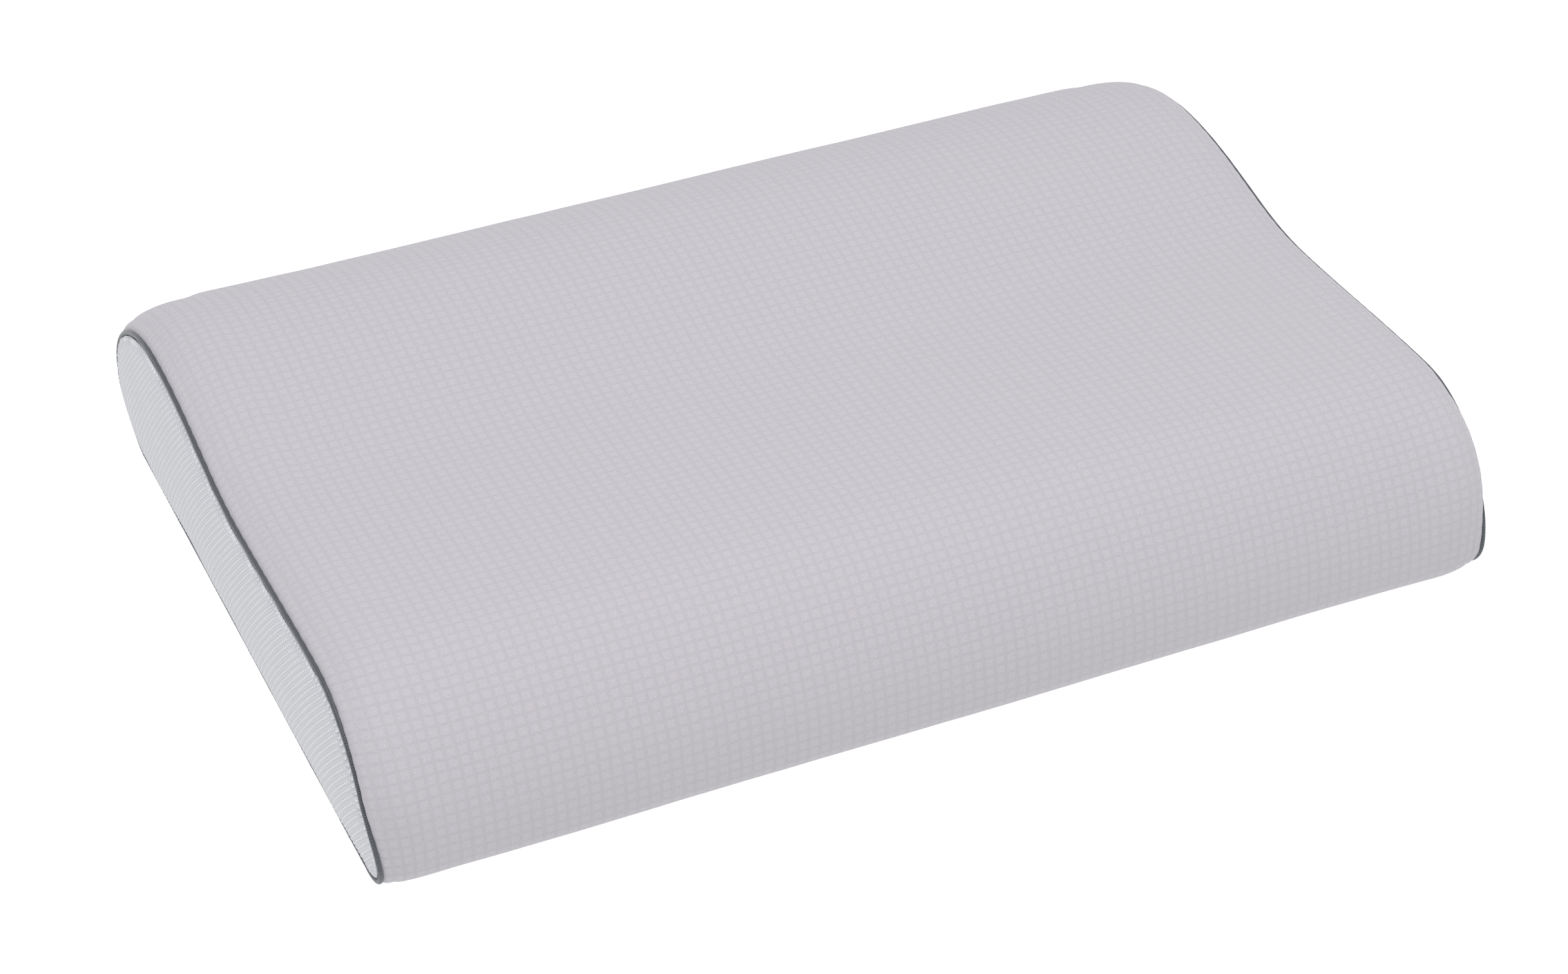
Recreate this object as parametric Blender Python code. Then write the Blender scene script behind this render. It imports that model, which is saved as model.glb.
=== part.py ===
"""Contour bed pillow: a wave-shaped foam core in a knitted liner, inside a zipped outer cover.

The cover has a knitted top panel that runs over the top and the front nose, a bottom panel,
a mesh gusset at each end, and a corded satin piping in each end seam. The zip lies along the
back. +X runs along the pillow, the sleeper lies over the front (-Y), and +Z is up. The origin
is under the middle of the pillow, on the face that it rests on. Lengths are in metres.
"""

import math

import bmesh
import bpy
from mathutils import Vector
from mathutils.geometry import interpolate_bezier

# The outside of the whole pillow
LENGTH = 0.597
DEPTH = 0.4126
BACK_HEIGHT = 0.1105
FRONT_HEIGHT = 0.096
DIP_HEIGHT = 0.0925

# Where the crests, the dip and the corners of the side outline stand
FRONT_CREST_Y = -0.136
DIP_Y = -0.014
BACK_CREST_Y = 0.110
FRONT_NOSE_Z = 0.017
FRONT_CORNER = 0.020
BACK_CORNER = 0.034
UNDER_SEAM = 0.045

# How fast the corners tighten as the outline is drawn smaller
FRONT_TIGHTENS = 0.06
BACK_TIGHTENS = 0.08

# Layers of the cover, and the room that a seam or a fold keeps to its neighbour
GAP = 0.0003
PANEL = 0.0012
LINER = 0.0008
LAYER_GAP = 0.0004
BACK_ROOM = 0.0025

# How each end of the cover rounds over to its piping seam. The seam drops below the outline
# by SEAM_INSET over the top, and by only a share of that along the base.
END_ROUND = 0.032
SEAM_INSET = 0.011
BASE_SHARE = 0.30
BASE_UP_TO = 0.016
TOP_FROM = 0.052
SEAM_ALLOWANCE = 0.008
END_STEPS = 4

# Each end leans in towards its foot, from LEAN_FROM_X outwards and below LEAN_UP_TO
END_LEAN = 0.0028
LEAN_UP_TO = 0.050
LEAN_FROM_X = 0.262
LINER_HOLE = 0.019

# Piping: a cord in a folded tape, whose two flanges lie in the seam
PIPING_RADIUS = 0.0014
TAPE = 0.0003
FLANGE_SLIT = 0.0002
PIPING_BEHIND_CROWN = 0.0045
PIPING_RISE = 0.001
BEAD_STEPS = 10
CORD_SIDES = 8

# Gusset: a thick mesh that domes out past the piping. The dome starts to rise at DOME_START
# from the seam, is nearly full half way to GUSSET_DOME, and is flat beyond that.
GUSSET = 0.0020
GUSSET_RIM = 0.0018
DOME_START = 0.0055
DOME_START_DROP = 0.0020
DOME_HALF_DROP = 0.0006
GUSSET_DOME = 0.022

# Zip, from its slot in the cover down to its slider
ZIP_Z = 0.046
ZIP_SLOT = 0.0080
ZIP_HALF = 0.260
ZIP_TAPE_WIDTH = 0.0115
ZIP_TAPE = 0.0006
ZIP_MIDDLE_GAP = 0.0012
COIL_WIDTH = 0.0020
COIL_THICK = 0.0015
COIL_EDGE = 0.0004
COIL_HALF = 0.255
STOP_LENGTH = 0.0024
STOP_EDGE = 0.0003
SLIDER_LENGTH = 0.009
SLIDER_WIDTH = 0.0072
SLIDER_PLATE = 0.0008
WEDGE_LENGTH = 0.0028
WEDGE_BACK = 0.0004
BRIDGE_WIDTH = 0.0016
BRIDGE_REACH = 0.0031
BRIDGE_POST = 0.0010
PULL_THICK = 0.0008
PULL_LENGTH = 0.024
PULL_WIDTH = 0.0065
PULL_WINDOW = 0.0036
PULL_CORNER = 0.0014

# Care label, sewn inside the cover below the zip
LABEL_THICK = 0.0003
LABEL_WIDTH = 0.040
LABEL_X = 0.140

# An edge that bends more than this is drawn sharp
SHARP_ANGLE = math.radians(35)

# Worked out from the sizes above
ZIP_PROUD = 2 * GAP + SLIDER_PLATE + 2 * GAP + PULL_THICK + SLIDER_PLATE
FRONT_Y = -DEPTH / 2
BACK_Y = DEPTH / 2 - ZIP_PROUD
PIPING_X = LENGTH / 2 - PIPING_BEHIND_CROWN
FLANGE_END = PIPING_X - PIPING_RADIUS + 2 * TAPE + FLANGE_SLIT
CORD_RADIUS = PIPING_RADIUS - TAPE - GAP
SEAM_X = PIPING_X - PIPING_RADIUS - LAYER_GAP
ROUND_X = SEAM_X - END_ROUND


def clear_scene():
    for item in list(bpy.data.objects):
        bpy.data.objects.remove(item, do_unlink=True)


def material(name, colour, roughness, metallic=0.0):
    finish = bpy.data.materials.new(name)
    finish.use_nodes = True
    shader = finish.node_tree.nodes["Principled BSDF"]
    shader.inputs["Base Color"].default_value = (*colour, 1.0)
    shader.inputs["Roughness"].default_value = roughness
    shader.inputs["Metallic"].default_value = metallic
    return finish


def finish_object(name, shape, finish):
    """Turns a bmesh into a named object, smooth but for its sharp edges, faces pointing out."""
    bmesh.ops.recalc_face_normals(shape, faces=shape.faces)
    mesh = bpy.data.meshes.new(name)
    shape.to_mesh(mesh)
    shape.free()
    mesh.materials.append(finish)
    mesh.shade_smooth()
    mesh.set_sharp_from_angle(angle=SHARP_ANGLE)
    made = bpy.data.objects.new(name, mesh)
    bpy.context.scene.collection.objects.link(made)
    return made


# ---- The side outline -------------------------------------------------------------------


def even_outline(inset, slot, room):
    """The pillow's outline in the YZ plane, drawn smaller by inset, as two lists of points.

    It starts at the seam in the underside and goes round by the front nose, over the top and
    down the back. It splits where the cover does: the first list is the top panel's, and the
    second the bottom panel's. Room draws the back nose in, to leave the zip its space.
    """
    front = FRONT_Y + inset
    back = BACK_Y - inset - room
    front_corner = FRONT_CORNER * (1 - inset / FRONT_TIGHTENS)
    back_corner = BACK_CORNER * (1 - inset / BACK_TIGHTENS)
    nose_z = inset + FRONT_NOSE_Z * (1 - inset / FRONT_TIGHTENS)
    front_top = FRONT_HEIGHT - inset
    dip_top = DIP_HEIGHT - inset
    back_top = BACK_HEIGHT - inset
    slot_high = ZIP_Z + slot / 2
    slot_low = ZIP_Z - slot / 2
    front_run = FRONT_CREST_Y - front
    dip_run = DIP_Y - FRONT_CREST_Y
    rise_run = BACK_CREST_Y - DIP_Y
    back_run = back - BACK_CREST_Y
    over_top = [
        ((front + front_corner, inset), (-0.58 * front_corner, 0),
         (0, -0.58 * (nose_z - inset)), (front, nose_z), 3),
        ((front, nose_z), (0, 0.54 * (front_top - nose_z)),
         (-0.56 * front_run, 0), (FRONT_CREST_Y, front_top), 6),
        ((FRONT_CREST_Y, front_top), (0.40 * dip_run, 0),
         (-0.34 * dip_run, 0), (DIP_Y, dip_top), 4),
        ((DIP_Y, dip_top), (0.34 * rise_run, 0),
         (-0.42 * rise_run, 0), (BACK_CREST_Y, back_top), 5),
        ((BACK_CREST_Y, back_top), (0.50 * back_run, 0),
         (0, 0.48 * (back_top - slot_high)), (back, slot_high), 6),
    ]
    below_zip = [
        ((back, slot_low), (0, -0.56 * (slot_low - inset)),
         (0.56 * back_corner, 0), (back - back_corner, inset), 4),
    ]
    seam_y = FRONT_Y + UNDER_SEAM
    top = [Vector((seam_y, inset))] + bezier_points(over_top)
    bottom = bezier_points(below_zip) + [Vector((seam_y + GAP, inset))]
    return top, bottom


def drop_share(z):
    """The share of an end's drop that a point at this height takes."""
    return BASE_SHARE + (1 - BASE_SHARE) * smooth_rise(z, BASE_UP_TO, TOP_FROM)


def smooth_rise(value, start, end):
    """Eases from 0 at the start to 1 at the end."""
    share = min(max((value - start) / (end - start), 0.0), 1.0)
    return share * share * (3 - 2 * share)


def leaned(x, z):
    """Where a point at x stands once its end has leaned in towards the foot."""
    lean = END_LEAN * smooth_rise(abs(x), LEAN_FROM_X, SEAM_X) * (1 - smooth_rise(z, 0, LEAN_UP_TO))
    return x - math.copysign(lean, x)


def outline(depth, drop=0.0, slot=ZIP_SLOT, room=0.0):
    """The outline this deep in the cover, where an end of the pillow has dropped this far."""
    lists = []
    for level, dropped in zip(even_outline(depth, slot, room),
                              even_outline(depth + drop, slot, room)):
        lists.append([first.lerp(second, drop_share(first.y))
                      for first, second in zip(level, dropped)])
    return lists


def bezier_points(segments):
    """Points along joined Bezier segments, each given as start, two handle offsets, end, steps."""
    points = []
    for start, leave, arrive, end, steps in segments:
        start = Vector(start)
        end = Vector(end)
        run = interpolate_bezier(start, start + Vector(leave), end + Vector(arrive), end, steps + 1)
        points.extend(run if not points else run[1:])
    return points


def slot_at(x):
    """The zip's slot is open along the zip and sewn shut past its ends."""
    return ZIP_SLOT if abs(x) <= ZIP_HALF else 2 * GAP


# ---- Lofts along the outline ------------------------------------------------------------


def ring_at(shape, points, x):
    """One ring of vertices in the plane at x."""
    return [shape.verts.new((leaned(x, point.y), point.x, point.y)) for point in points]


def skin_rings(shape, rings, closed, joined):
    """Faces from each ring of vertices to the next, and from the last to the first if joined.

    Every layer splits its quads along the same diagonal, from the ring nearer the middle, so
    the thin gaps between layers stay open where the surface twists.
    """
    followers = rings[1:] + rings[:1] if joined else rings[1:]
    for first, second in zip(rings, followers):
        steps = len(first) if closed else len(first) - 1
        for i in range(steps):
            j = (i + 1) % len(first)
            if abs(first[i].co.x) > abs(second[i].co.x):
                shape.faces.new((first[i], first[j], second[i]))
                shape.faces.new((first[j], second[j], second[i]))
            else:
                shape.faces.new((first[i], first[j], second[j]))
                shape.faces.new((first[i], second[j], second[i]))
    if not closed:
        shape.faces.new([ring[0] for ring in rings])
        shape.faces.new([ring[-1] for ring in rings])


def loft(name, section, finish, part="whole", room=0.0, capped=False):
    """Sweeps a section, given as (x, depth, drop) corners, along the outline.

    The whole outline gives a loop, and part "top" or "bottom" gives that panel's strip with
    flat ends. A capped section is an open chain that ends in a flat face on each side.
    """
    shape = bmesh.new()
    rings = []
    closed = part == "whole"
    for x, depth, drop in section:
        top, bottom = outline(depth, drop, slot_at(x), room)
        points = {"whole": top + bottom, "top": top, "bottom": bottom}[part]
        rings.append(ring_at(shape, points, x))
    skin_rings(shape, rings, closed, joined=not capped)
    if capped:
        shape.faces.new(rings[0])
        shape.faces.new(rings[-1])
    bmesh.ops.triangulate(shape, faces=[face for face in shape.faces if len(face.verts) > 4])
    finish_object(name, shape, finish)


def end_round(layer):
    """The (x, depth, drop) curve over the right end, for a layer this deep in the cover."""
    curve = []
    for step in range(END_STEPS + 1):
        turn = math.pi / 2 * step / END_STEPS
        x = ROUND_X + (END_ROUND - layer) * math.sin(turn)
        curve.append((x, layer * math.cos(turn), SEAM_INSET * (1 - math.cos(turn))))
    return curve


def both_ends(curve):
    """The chain from the left end to the right end, with a stop at each end of the zip's slot."""
    level = curve[0][1]
    middle = [(-ZIP_HALF, level, 0.0), (ZIP_HALF, level, 0.0)]
    return mirrored(reversed(curve), -1) + middle + curve


def mirrored(section, side):
    return [(side * x, depth, drop) for x, depth, drop in section]


# ---- The soft pieces --------------------------------------------------------------------


def make_core_and_liner(foam, stockinette):
    liner_depth = PANEL + LAYER_GAP
    core_depth = liner_depth + LINER + LAYER_GAP
    loft("foam_core", both_ends(end_round(core_depth)), foam, room=BACK_ROOM, capped=True)
    outer = end_round(liner_depth)
    outer.append((outer[-1][0], LINER_HOLE, SEAM_INSET))
    inner = end_round(liner_depth + LINER)
    inner.append((inner[-1][0], LINER_HOLE, SEAM_INSET))
    section = both_ends(outer) + list(reversed(both_ends(inner)))
    loft("inner_cover", section, stockinette, room=BACK_ROOM)


def make_panels(knit):
    outer = end_round(0.0)
    outer.append((outer[-1][0], SEAM_ALLOWANCE, SEAM_INSET))
    inner = end_round(PANEL)
    inner.append((inner[-1][0], SEAM_ALLOWANCE, SEAM_INSET))
    section = both_ends(outer) + list(reversed(both_ends(inner)))
    loft("top_panel", section, knit, part="top")
    loft("bottom_panel", section, knit, part="bottom")


def make_gusset(name, side, mesh_cloth):
    """A domed end panel, whose edge is folded in and sewn behind the piping."""
    fold = FLANGE_END + GAP
    folded = fold + PANEL
    crown = LENGTH / 2
    rim = PIPING_RADIUS - PIPING_RISE + LAYER_GAP
    half_dome = GUSSET_DOME / 2
    corners = [
        (crown - GUSSET, GUSSET_DOME),
        (crown - DOME_HALF_DROP - GUSSET, half_dome),
        (folded + LAYER_GAP, DOME_START),
        (folded, SEAM_ALLOWANCE),
        (fold, SEAM_ALLOWANCE),
        (fold, rim + PANEL / 2),
        (fold + PANEL / 2, rim),
        (PIPING_X + GUSSET_RIM, rim + LAYER_GAP),
        (crown - DOME_START_DROP, DOME_START),
        (crown - DOME_HALF_DROP, half_dome),
        (crown, GUSSET_DOME),
    ]
    section = [(x, depth, SEAM_INSET) for x, depth in corners]
    loft(name, mirrored(section, side), mesh_cloth, capped=True)


def arc(radius, start, stop, steps):
    """(x, depth, drop) corners about the piping's middle; a quarter turn points inward."""
    corners = []
    for step in range(steps + 1):
        turn = math.radians(start + (stop - start) * step / steps)
        corners.append((PIPING_X + radius * math.cos(turn),
                        radius * math.sin(turn) - PIPING_RISE, SEAM_INSET))
    return corners


def turn_at(x, radius):
    """The turn at which a circle about the piping's middle comes to this x, in degrees."""
    return math.degrees(math.acos((x - PIPING_X) / radius))


def make_piping(side_name, side, satin, cotton):
    """A tape folded round a cord: down the inner flange, round the bead and down the outer."""
    left = PIPING_X - PIPING_RADIUS
    inner_radius = PIPING_RADIUS - TAPE
    flange_ends = [(x, SEAM_ALLOWANCE, SEAM_INSET)
                   for x in (left, FLANGE_END, FLANGE_END - TAPE, left + TAPE)]
    outside = arc(PIPING_RADIUS, 180, 360 + turn_at(FLANGE_END, PIPING_RADIUS), BEAD_STEPS)
    inside = arc(inner_radius, 360 + turn_at(FLANGE_END - TAPE, inner_radius), 180, BEAD_STEPS)
    section = flange_ends[:1] + outside + flange_ends[1:3] + inside + flange_ends[3:]
    loft(f"piping_tape_{side_name}", mirrored(section, side), satin)
    cord = arc(CORD_RADIUS, 0, 360 - 360 / CORD_SIDES, CORD_SIDES - 1)
    loft(f"piping_cord_{side_name}", mirrored(cord, side), cotton)


def make_strip(name, low_x, high_x, outer, thickness, route, finish):
    """A thin strip inside the cover: route gives its points in the YZ plane at an inset."""
    shape = bmesh.new()
    rings = []
    inner = outer + thickness
    for x, inset in ((low_x, outer), (high_x, outer), (high_x, inner), (low_x, inner)):
        rings.append(ring_at(shape, route(inset), x))
    skin_rings(shape, rings, closed=False, joined=True)
    finish_object(name, shape, finish)


def below_zip_route(inset):
    """Down the inside of the bottom panel, clear of the zip's tape."""
    return outline(inset)[1][1:4]


def make_label(ribbon):
    """A blank ribbon label that follows the inside of the cover below the zip."""
    low_x = LABEL_X - LABEL_WIDTH / 2
    make_strip("care_label", low_x, low_x + LABEL_WIDTH, PANEL + GAP, LABEL_THICK,
               below_zip_route, ribbon)


# ---- The zip ----------------------------------------------------------------------------


def add_block(shape, low, high):
    """One box, from its lowest to its highest corner."""
    made = bmesh.ops.create_cube(shape, size=1.0)["verts"]
    for vert in made:
        for axis in range(3):
            vert.co[axis] = low[axis] if vert.co[axis] < 0 else high[axis]


def block_object(name, low, high, finish, bevel=0.0):
    shape = bmesh.new()
    add_block(shape, low, high)
    if bevel:
        bmesh.ops.bevel(shape, geom=shape.edges[:], offset=bevel, segments=1,
                        affect="EDGES", profile=0.5, material=-1)
    return finish_object(name, shape, finish)


def tape_route(inset, sign):
    """From beside the coil, across the slot and up or down behind the panel's edge."""
    top, bottom = outline(inset)
    edge, beyond = (top[-1], top[-2]) if sign > 0 else (bottom[0], bottom[1])
    run = beyond - edge
    covered = run.normalized() * (ZIP_TAPE_WIDTH - ZIP_SLOT / 2)
    beside_coil = Vector((edge.x, ZIP_Z + sign * ZIP_MIDDLE_GAP / 2))
    return [beside_coil, edge, edge + covered]


def make_zip_chain(tape_cloth, nylon, metal):
    tape_outer = PANEL + GAP
    coil_inner = BACK_Y - tape_outer + GAP
    near = ZIP_MIDDLE_GAP / 2
    far = near + COIL_WIDTH
    for name, sign in (("upper", 1), ("lower", -1)):
        make_strip(f"zip_tape_{name}", -ZIP_HALF, ZIP_HALF, tape_outer, ZIP_TAPE,
                   lambda inset, sign=sign: tape_route(inset, sign), tape_cloth)
        edges = sorted((ZIP_Z + sign * near, ZIP_Z + sign * far))
        block_object(f"zip_coil_{name}", (-COIL_HALF, coil_inner, edges[0]),
                     (COIL_HALF, coil_inner + COIL_THICK, edges[1]), nylon, bevel=COIL_EDGE)
    for name, x in (("top", COIL_HALF + 2 * GAP), ("bottom", -COIL_HALF - 2 * GAP - STOP_LENGTH)):
        block_object(f"zip_{name}_stop", (x, coil_inner, ZIP_Z - far),
                     (x + STOP_LENGTH, coil_inner + COIL_THICK, ZIP_Z + far), metal, bevel=STOP_EDGE)


def make_slider(metal):
    """Two plates joined by a wedge between the coils, with a bridge that holds the pull."""
    middle = COIL_HALF - SLIDER_LENGTH / 2 - 2 * GAP
    half = SLIDER_LENGTH / 2
    outer_low = BACK_Y + 2 * GAP
    inner_high = BACK_Y - PANEL - 2 * GAP - ZIP_TAPE
    outer_high = outer_low + SLIDER_PLATE
    bar_y = outer_high + GAP + PULL_THICK / 2
    blocks = [
        ((-half, outer_low, -SLIDER_WIDTH / 2), (half, outer_high, SLIDER_WIDTH / 2)),
        ((-half, inner_high - SLIDER_PLATE, -SLIDER_WIDTH / 2),
         (half, inner_high, SLIDER_WIDTH / 2)),
        ((half - WEDGE_BACK - WEDGE_LENGTH, inner_high - GAP, -GAP),
         (half - WEDGE_BACK, outer_low + GAP, GAP)),
    ]
    arch_low = outer_high + 2 * GAP + PULL_THICK
    for side in (-1, 1):
        ends = sorted((side * BRIDGE_REACH, side * (BRIDGE_REACH - BRIDGE_POST)))
        blocks.append(((ends[0], outer_high - GAP, -BRIDGE_WIDTH / 2),
                       (ends[1], arch_low + GAP, BRIDGE_WIDTH / 2)))
    blocks.append(((-BRIDGE_REACH, arch_low, -BRIDGE_WIDTH / 2),
                   (BRIDGE_REACH, arch_low + SLIDER_PLATE, BRIDGE_WIDTH / 2)))
    body = join_blocks("zip_slider", blocks, metal)
    body.location = (middle, 0, ZIP_Z)
    return middle, bar_y


def join_blocks(name, blocks, finish):
    """One solid from overlapping boxes, by Boolean unions."""
    first = block_object(name, *blocks[0], finish)
    for index, (low, high) in enumerate(blocks[1:]):
        helper = block_object(f"{name}_block_{index}", low, high, finish)
        helper.hide_render = True
        helper.display_type = "WIRE"
        helper.parent = first
        union = first.modifiers.new(f"join_{index}", "BOOLEAN")
        union.operation = "UNION"
        union.object = helper
    return first


def make_pull(pivot_x, bar_y, metal):
    """A flat tab with a window, whose end bar turns under the slider's bridge."""
    shape = bmesh.new()
    half = PULL_THICK / 2
    add_block(shape, (-PULL_LENGTH, -half, -PULL_WIDTH / 2), (half, half, PULL_WIDTH / 2))
    bmesh.ops.bevel(shape, geom=[edge for edge in shape.edges if is_end_edge(edge)],
                    offset=PULL_CORNER, segments=3, affect="EDGES", profile=0.5, material=-1)
    pull = finish_object("zip_pull", shape, metal)
    window = block_object("zip_pull_window",
                          (-PULL_WINDOW, -2 * half, -BRIDGE_WIDTH / 2 - 2 * GAP),
                          (-half, 2 * half, BRIDGE_WIDTH / 2 + 2 * GAP), metal)
    window.hide_render = True
    window.display_type = "WIRE"
    window.parent = pull
    cut = pull.modifiers.new("window", "BOOLEAN")
    cut.operation = "DIFFERENCE"
    cut.object = window
    pull.location = (pivot_x, bar_y, ZIP_Z)


def is_end_edge(edge):
    """True for the two short edges across the thickness at the pull's free end."""
    first, second = (vert.co for vert in edge.verts)
    return abs(first.y - second.y) > 0 and first.x < -PULL_LENGTH / 2


def main():
    clear_scene()
    knit = material("jacquard_knit", (0.60, 0.60, 0.63), 0.9)
    stockinette = material("stockinette", (0.80, 0.80, 0.78), 0.95)
    foam = material("memory_foam", (0.86, 0.82, 0.66), 0.9)
    mesh_cloth = material("spacer_mesh", (0.62, 0.64, 0.65), 0.9)
    satin = material("grey_satin", (0.07, 0.08, 0.09), 0.5)
    cotton = material("cotton_cord", (0.75, 0.74, 0.70), 0.95)
    tape_cloth = material("zip_tape", (0.66, 0.66, 0.68), 0.85)
    nylon = material("zip_nylon", (0.68, 0.68, 0.70), 0.45)
    metal = material("zip_metal", (0.60, 0.60, 0.62), 0.35, metallic=0.9)
    ribbon = material("label_ribbon", (0.85, 0.85, 0.85), 0.7)
    make_core_and_liner(foam, stockinette)
    make_panels(knit)
    for side_name, side in (("left", -1), ("right", 1)):
        make_gusset(f"gusset_{side_name}", side, mesh_cloth)
        make_piping(side_name, side, satin, cotton)
    make_label(ribbon)
    make_zip_chain(tape_cloth, nylon, metal)
    pivot_x, bar_y = make_slider(metal)
    make_pull(pivot_x, bar_y, metal)


main()
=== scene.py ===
import math

import bmesh
import bpy
import numpy as np
from mathutils import Matrix, Vector, noise
from mathutils.bvhtree import BVHTree
from mathutils.geometry import interpolate_bezier


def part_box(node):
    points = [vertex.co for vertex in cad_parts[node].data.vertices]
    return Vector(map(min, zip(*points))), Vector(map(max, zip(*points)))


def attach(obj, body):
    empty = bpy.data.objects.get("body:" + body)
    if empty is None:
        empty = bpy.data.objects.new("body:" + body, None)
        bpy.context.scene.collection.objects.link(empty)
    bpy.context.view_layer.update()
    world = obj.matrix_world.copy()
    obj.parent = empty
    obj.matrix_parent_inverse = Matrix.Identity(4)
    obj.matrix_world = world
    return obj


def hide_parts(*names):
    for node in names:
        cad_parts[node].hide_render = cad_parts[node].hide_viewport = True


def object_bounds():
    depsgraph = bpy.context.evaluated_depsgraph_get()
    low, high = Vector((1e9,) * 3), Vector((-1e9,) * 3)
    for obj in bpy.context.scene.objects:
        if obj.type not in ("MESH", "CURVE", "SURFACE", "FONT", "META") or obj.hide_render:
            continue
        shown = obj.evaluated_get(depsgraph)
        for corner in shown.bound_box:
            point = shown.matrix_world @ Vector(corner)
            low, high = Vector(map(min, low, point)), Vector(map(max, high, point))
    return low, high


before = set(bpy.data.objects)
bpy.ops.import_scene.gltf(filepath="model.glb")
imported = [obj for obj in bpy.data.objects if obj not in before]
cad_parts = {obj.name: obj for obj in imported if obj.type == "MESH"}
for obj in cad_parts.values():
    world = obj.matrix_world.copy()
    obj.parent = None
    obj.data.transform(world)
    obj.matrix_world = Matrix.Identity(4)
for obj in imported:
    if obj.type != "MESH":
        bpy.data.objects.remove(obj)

cad_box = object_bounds()


# ==== Foam core ==============================================================================
# One block of moulded viscoelastic foam in the shape of a wave: a low front lobe, a dip for the
# head and a high back lobe. It is poured in a mould, so it has a smooth skin over open cells.

FRONT_CREST_Y = -0.136
DIP_Y = -0.014
BACK_CREST_Y = 0.110
FRONT_CREST_Z = 0.096
DIP_Z = 0.0925
FRONT_NOSE_Z = 0.017
FRONT_CORNER = 0.020
BACK_CORNER = 0.034
FRONT_TIGHTENS = 0.06
BACK_TIGHTENS = 0.08
PATH_STEPS = 40
END_ROUND = 0.032
END_DROP = 0.011
BASE_SHARE = 0.30
BASE_UP_TO = 0.016
TOP_FROM = 0.052
END_LEAN = 0.0028
LEAN_UP_TO = 0.050
LEAN_FROM_X = 0.262

cover_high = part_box("top_panel")[1]
front_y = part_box("top_panel")[0].y
back_y = cover_high.y
back_crest_z = cover_high.z
under_seam_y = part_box("bottom_panel")[0].y
zip_z = (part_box("zip_coil_upper")[0].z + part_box("zip_coil_lower")[1].z) / 2
seam_x = cover_high.x
round_x = seam_x - END_ROUND


def even_outline(inset, slot):
    """The pillow's side outline drawn smaller by inset: the top panel's path and the bottom's.

    Each path is an array of (y, z). The first runs from the seam under the front, round the
    front nose and over the top to the zip's slot; the second from below the slot to that seam.
    """
    front, back = front_y + inset, back_y - inset
    front_corner = FRONT_CORNER * (1 - inset / FRONT_TIGHTENS)
    back_corner = BACK_CORNER * (1 - inset / BACK_TIGHTENS)
    nose_z = inset + FRONT_NOSE_Z * (1 - inset / FRONT_TIGHTENS)
    front_top, dip_top, back_top = (z - inset for z in (FRONT_CREST_Z, DIP_Z, back_crest_z))
    slot_high, slot_low = zip_z + slot / 2, zip_z - slot / 2
    front_run, dip_run = FRONT_CREST_Y - front, DIP_Y - FRONT_CREST_Y
    rise_run, back_run = BACK_CREST_Y - DIP_Y, back - BACK_CREST_Y
    # Each handle is a share of the run or of the height that its bend covers.
    over_top = [
        ((front + front_corner, inset), (-0.58 * front_corner, 0),
         (0, -0.58 * (nose_z - inset)), (front, nose_z)),
        ((front, nose_z), (0, 0.54 * (front_top - nose_z)),
         (-0.56 * front_run, 0), (FRONT_CREST_Y, front_top)),
        ((FRONT_CREST_Y, front_top), (0.40 * dip_run, 0), (-0.34 * dip_run, 0), (DIP_Y, dip_top)),
        ((DIP_Y, dip_top), (0.34 * rise_run, 0), (-0.42 * rise_run, 0), (BACK_CREST_Y, back_top)),
        ((BACK_CREST_Y, back_top), (0.50 * back_run, 0),
         (0, 0.48 * (back_top - slot_high)), (back, slot_high)),
    ]
    below_zip = [((back, slot_low), (0, -0.56 * (slot_low - inset)),
                  (0.56 * back_corner, 0), (back - back_corner, inset))]
    seam = Vector((under_seam_y, inset))
    top = [seam] + curve_points(over_top)
    bottom = curve_points(below_zip) + [seam]
    return np.array(top), np.array(bottom)


def side_outline(depth, drop, slot):
    """The outline this deep in the cover, where an end has dropped this far; less at the base."""
    lanes = []
    for level, dropped in zip(even_outline(depth, slot), even_outline(depth + drop, slot)):
        share = BASE_SHARE + (1 - BASE_SHARE) * soft_step(level[:, 1:], BASE_UP_TO, TOP_FROM)
        lanes.append(level + (dropped - level) * share)
    return lanes


def soft_step(value, start, end):
    """Eases from 0 at the start to 1 at the end, for a number or an array."""
    share = np.clip((value - start) / (end - start), 0, 1)
    return share * share * (3 - 2 * share)


def leaned(x, z):
    """Where a point at x stands once its end has leaned in towards the foot."""
    lean = END_LEAN * soft_step(abs(x), LEAN_FROM_X, seam_x) * (1 - soft_step(z, 0, LEAN_UP_TO))
    return x - math.copysign(lean, x)


def curve_points(segments):
    """Points along joined Bezier segments, given as start, two handle offsets and end."""
    points = []
    for start, leave, arrive, end in segments:
        start, end = Vector(start), Vector(end)
        run = interpolate_bezier(start, start + Vector(leave), end + Vector(arrive), end,
                                 PATH_STEPS + 1)
        points.extend(run if not points else run[1:])
    return points


def lengths_along(path):
    return np.concatenate([[0.0], np.cumsum(np.linalg.norm(np.diff(path, axis=0), axis=1))])


def points_along(path, shares):
    """Points on a path at these shares of its length."""
    run = lengths_along(path)
    at = np.asarray(shares) * run[-1]
    return np.stack([np.interp(at, run, path[:, k]) for k in (0, 1)], axis=1)


def linear_colour(code):
    """An sRGB hex colour as linear RGBA."""
    parts = [int(code[i:i + 2], 16) / 255 for i in (1, 3, 5)]
    return [c / 12.92 if c <= 0.04045 else ((c + 0.055) / 1.055) ** 2.4 for c in parts] + [1.0]


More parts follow.
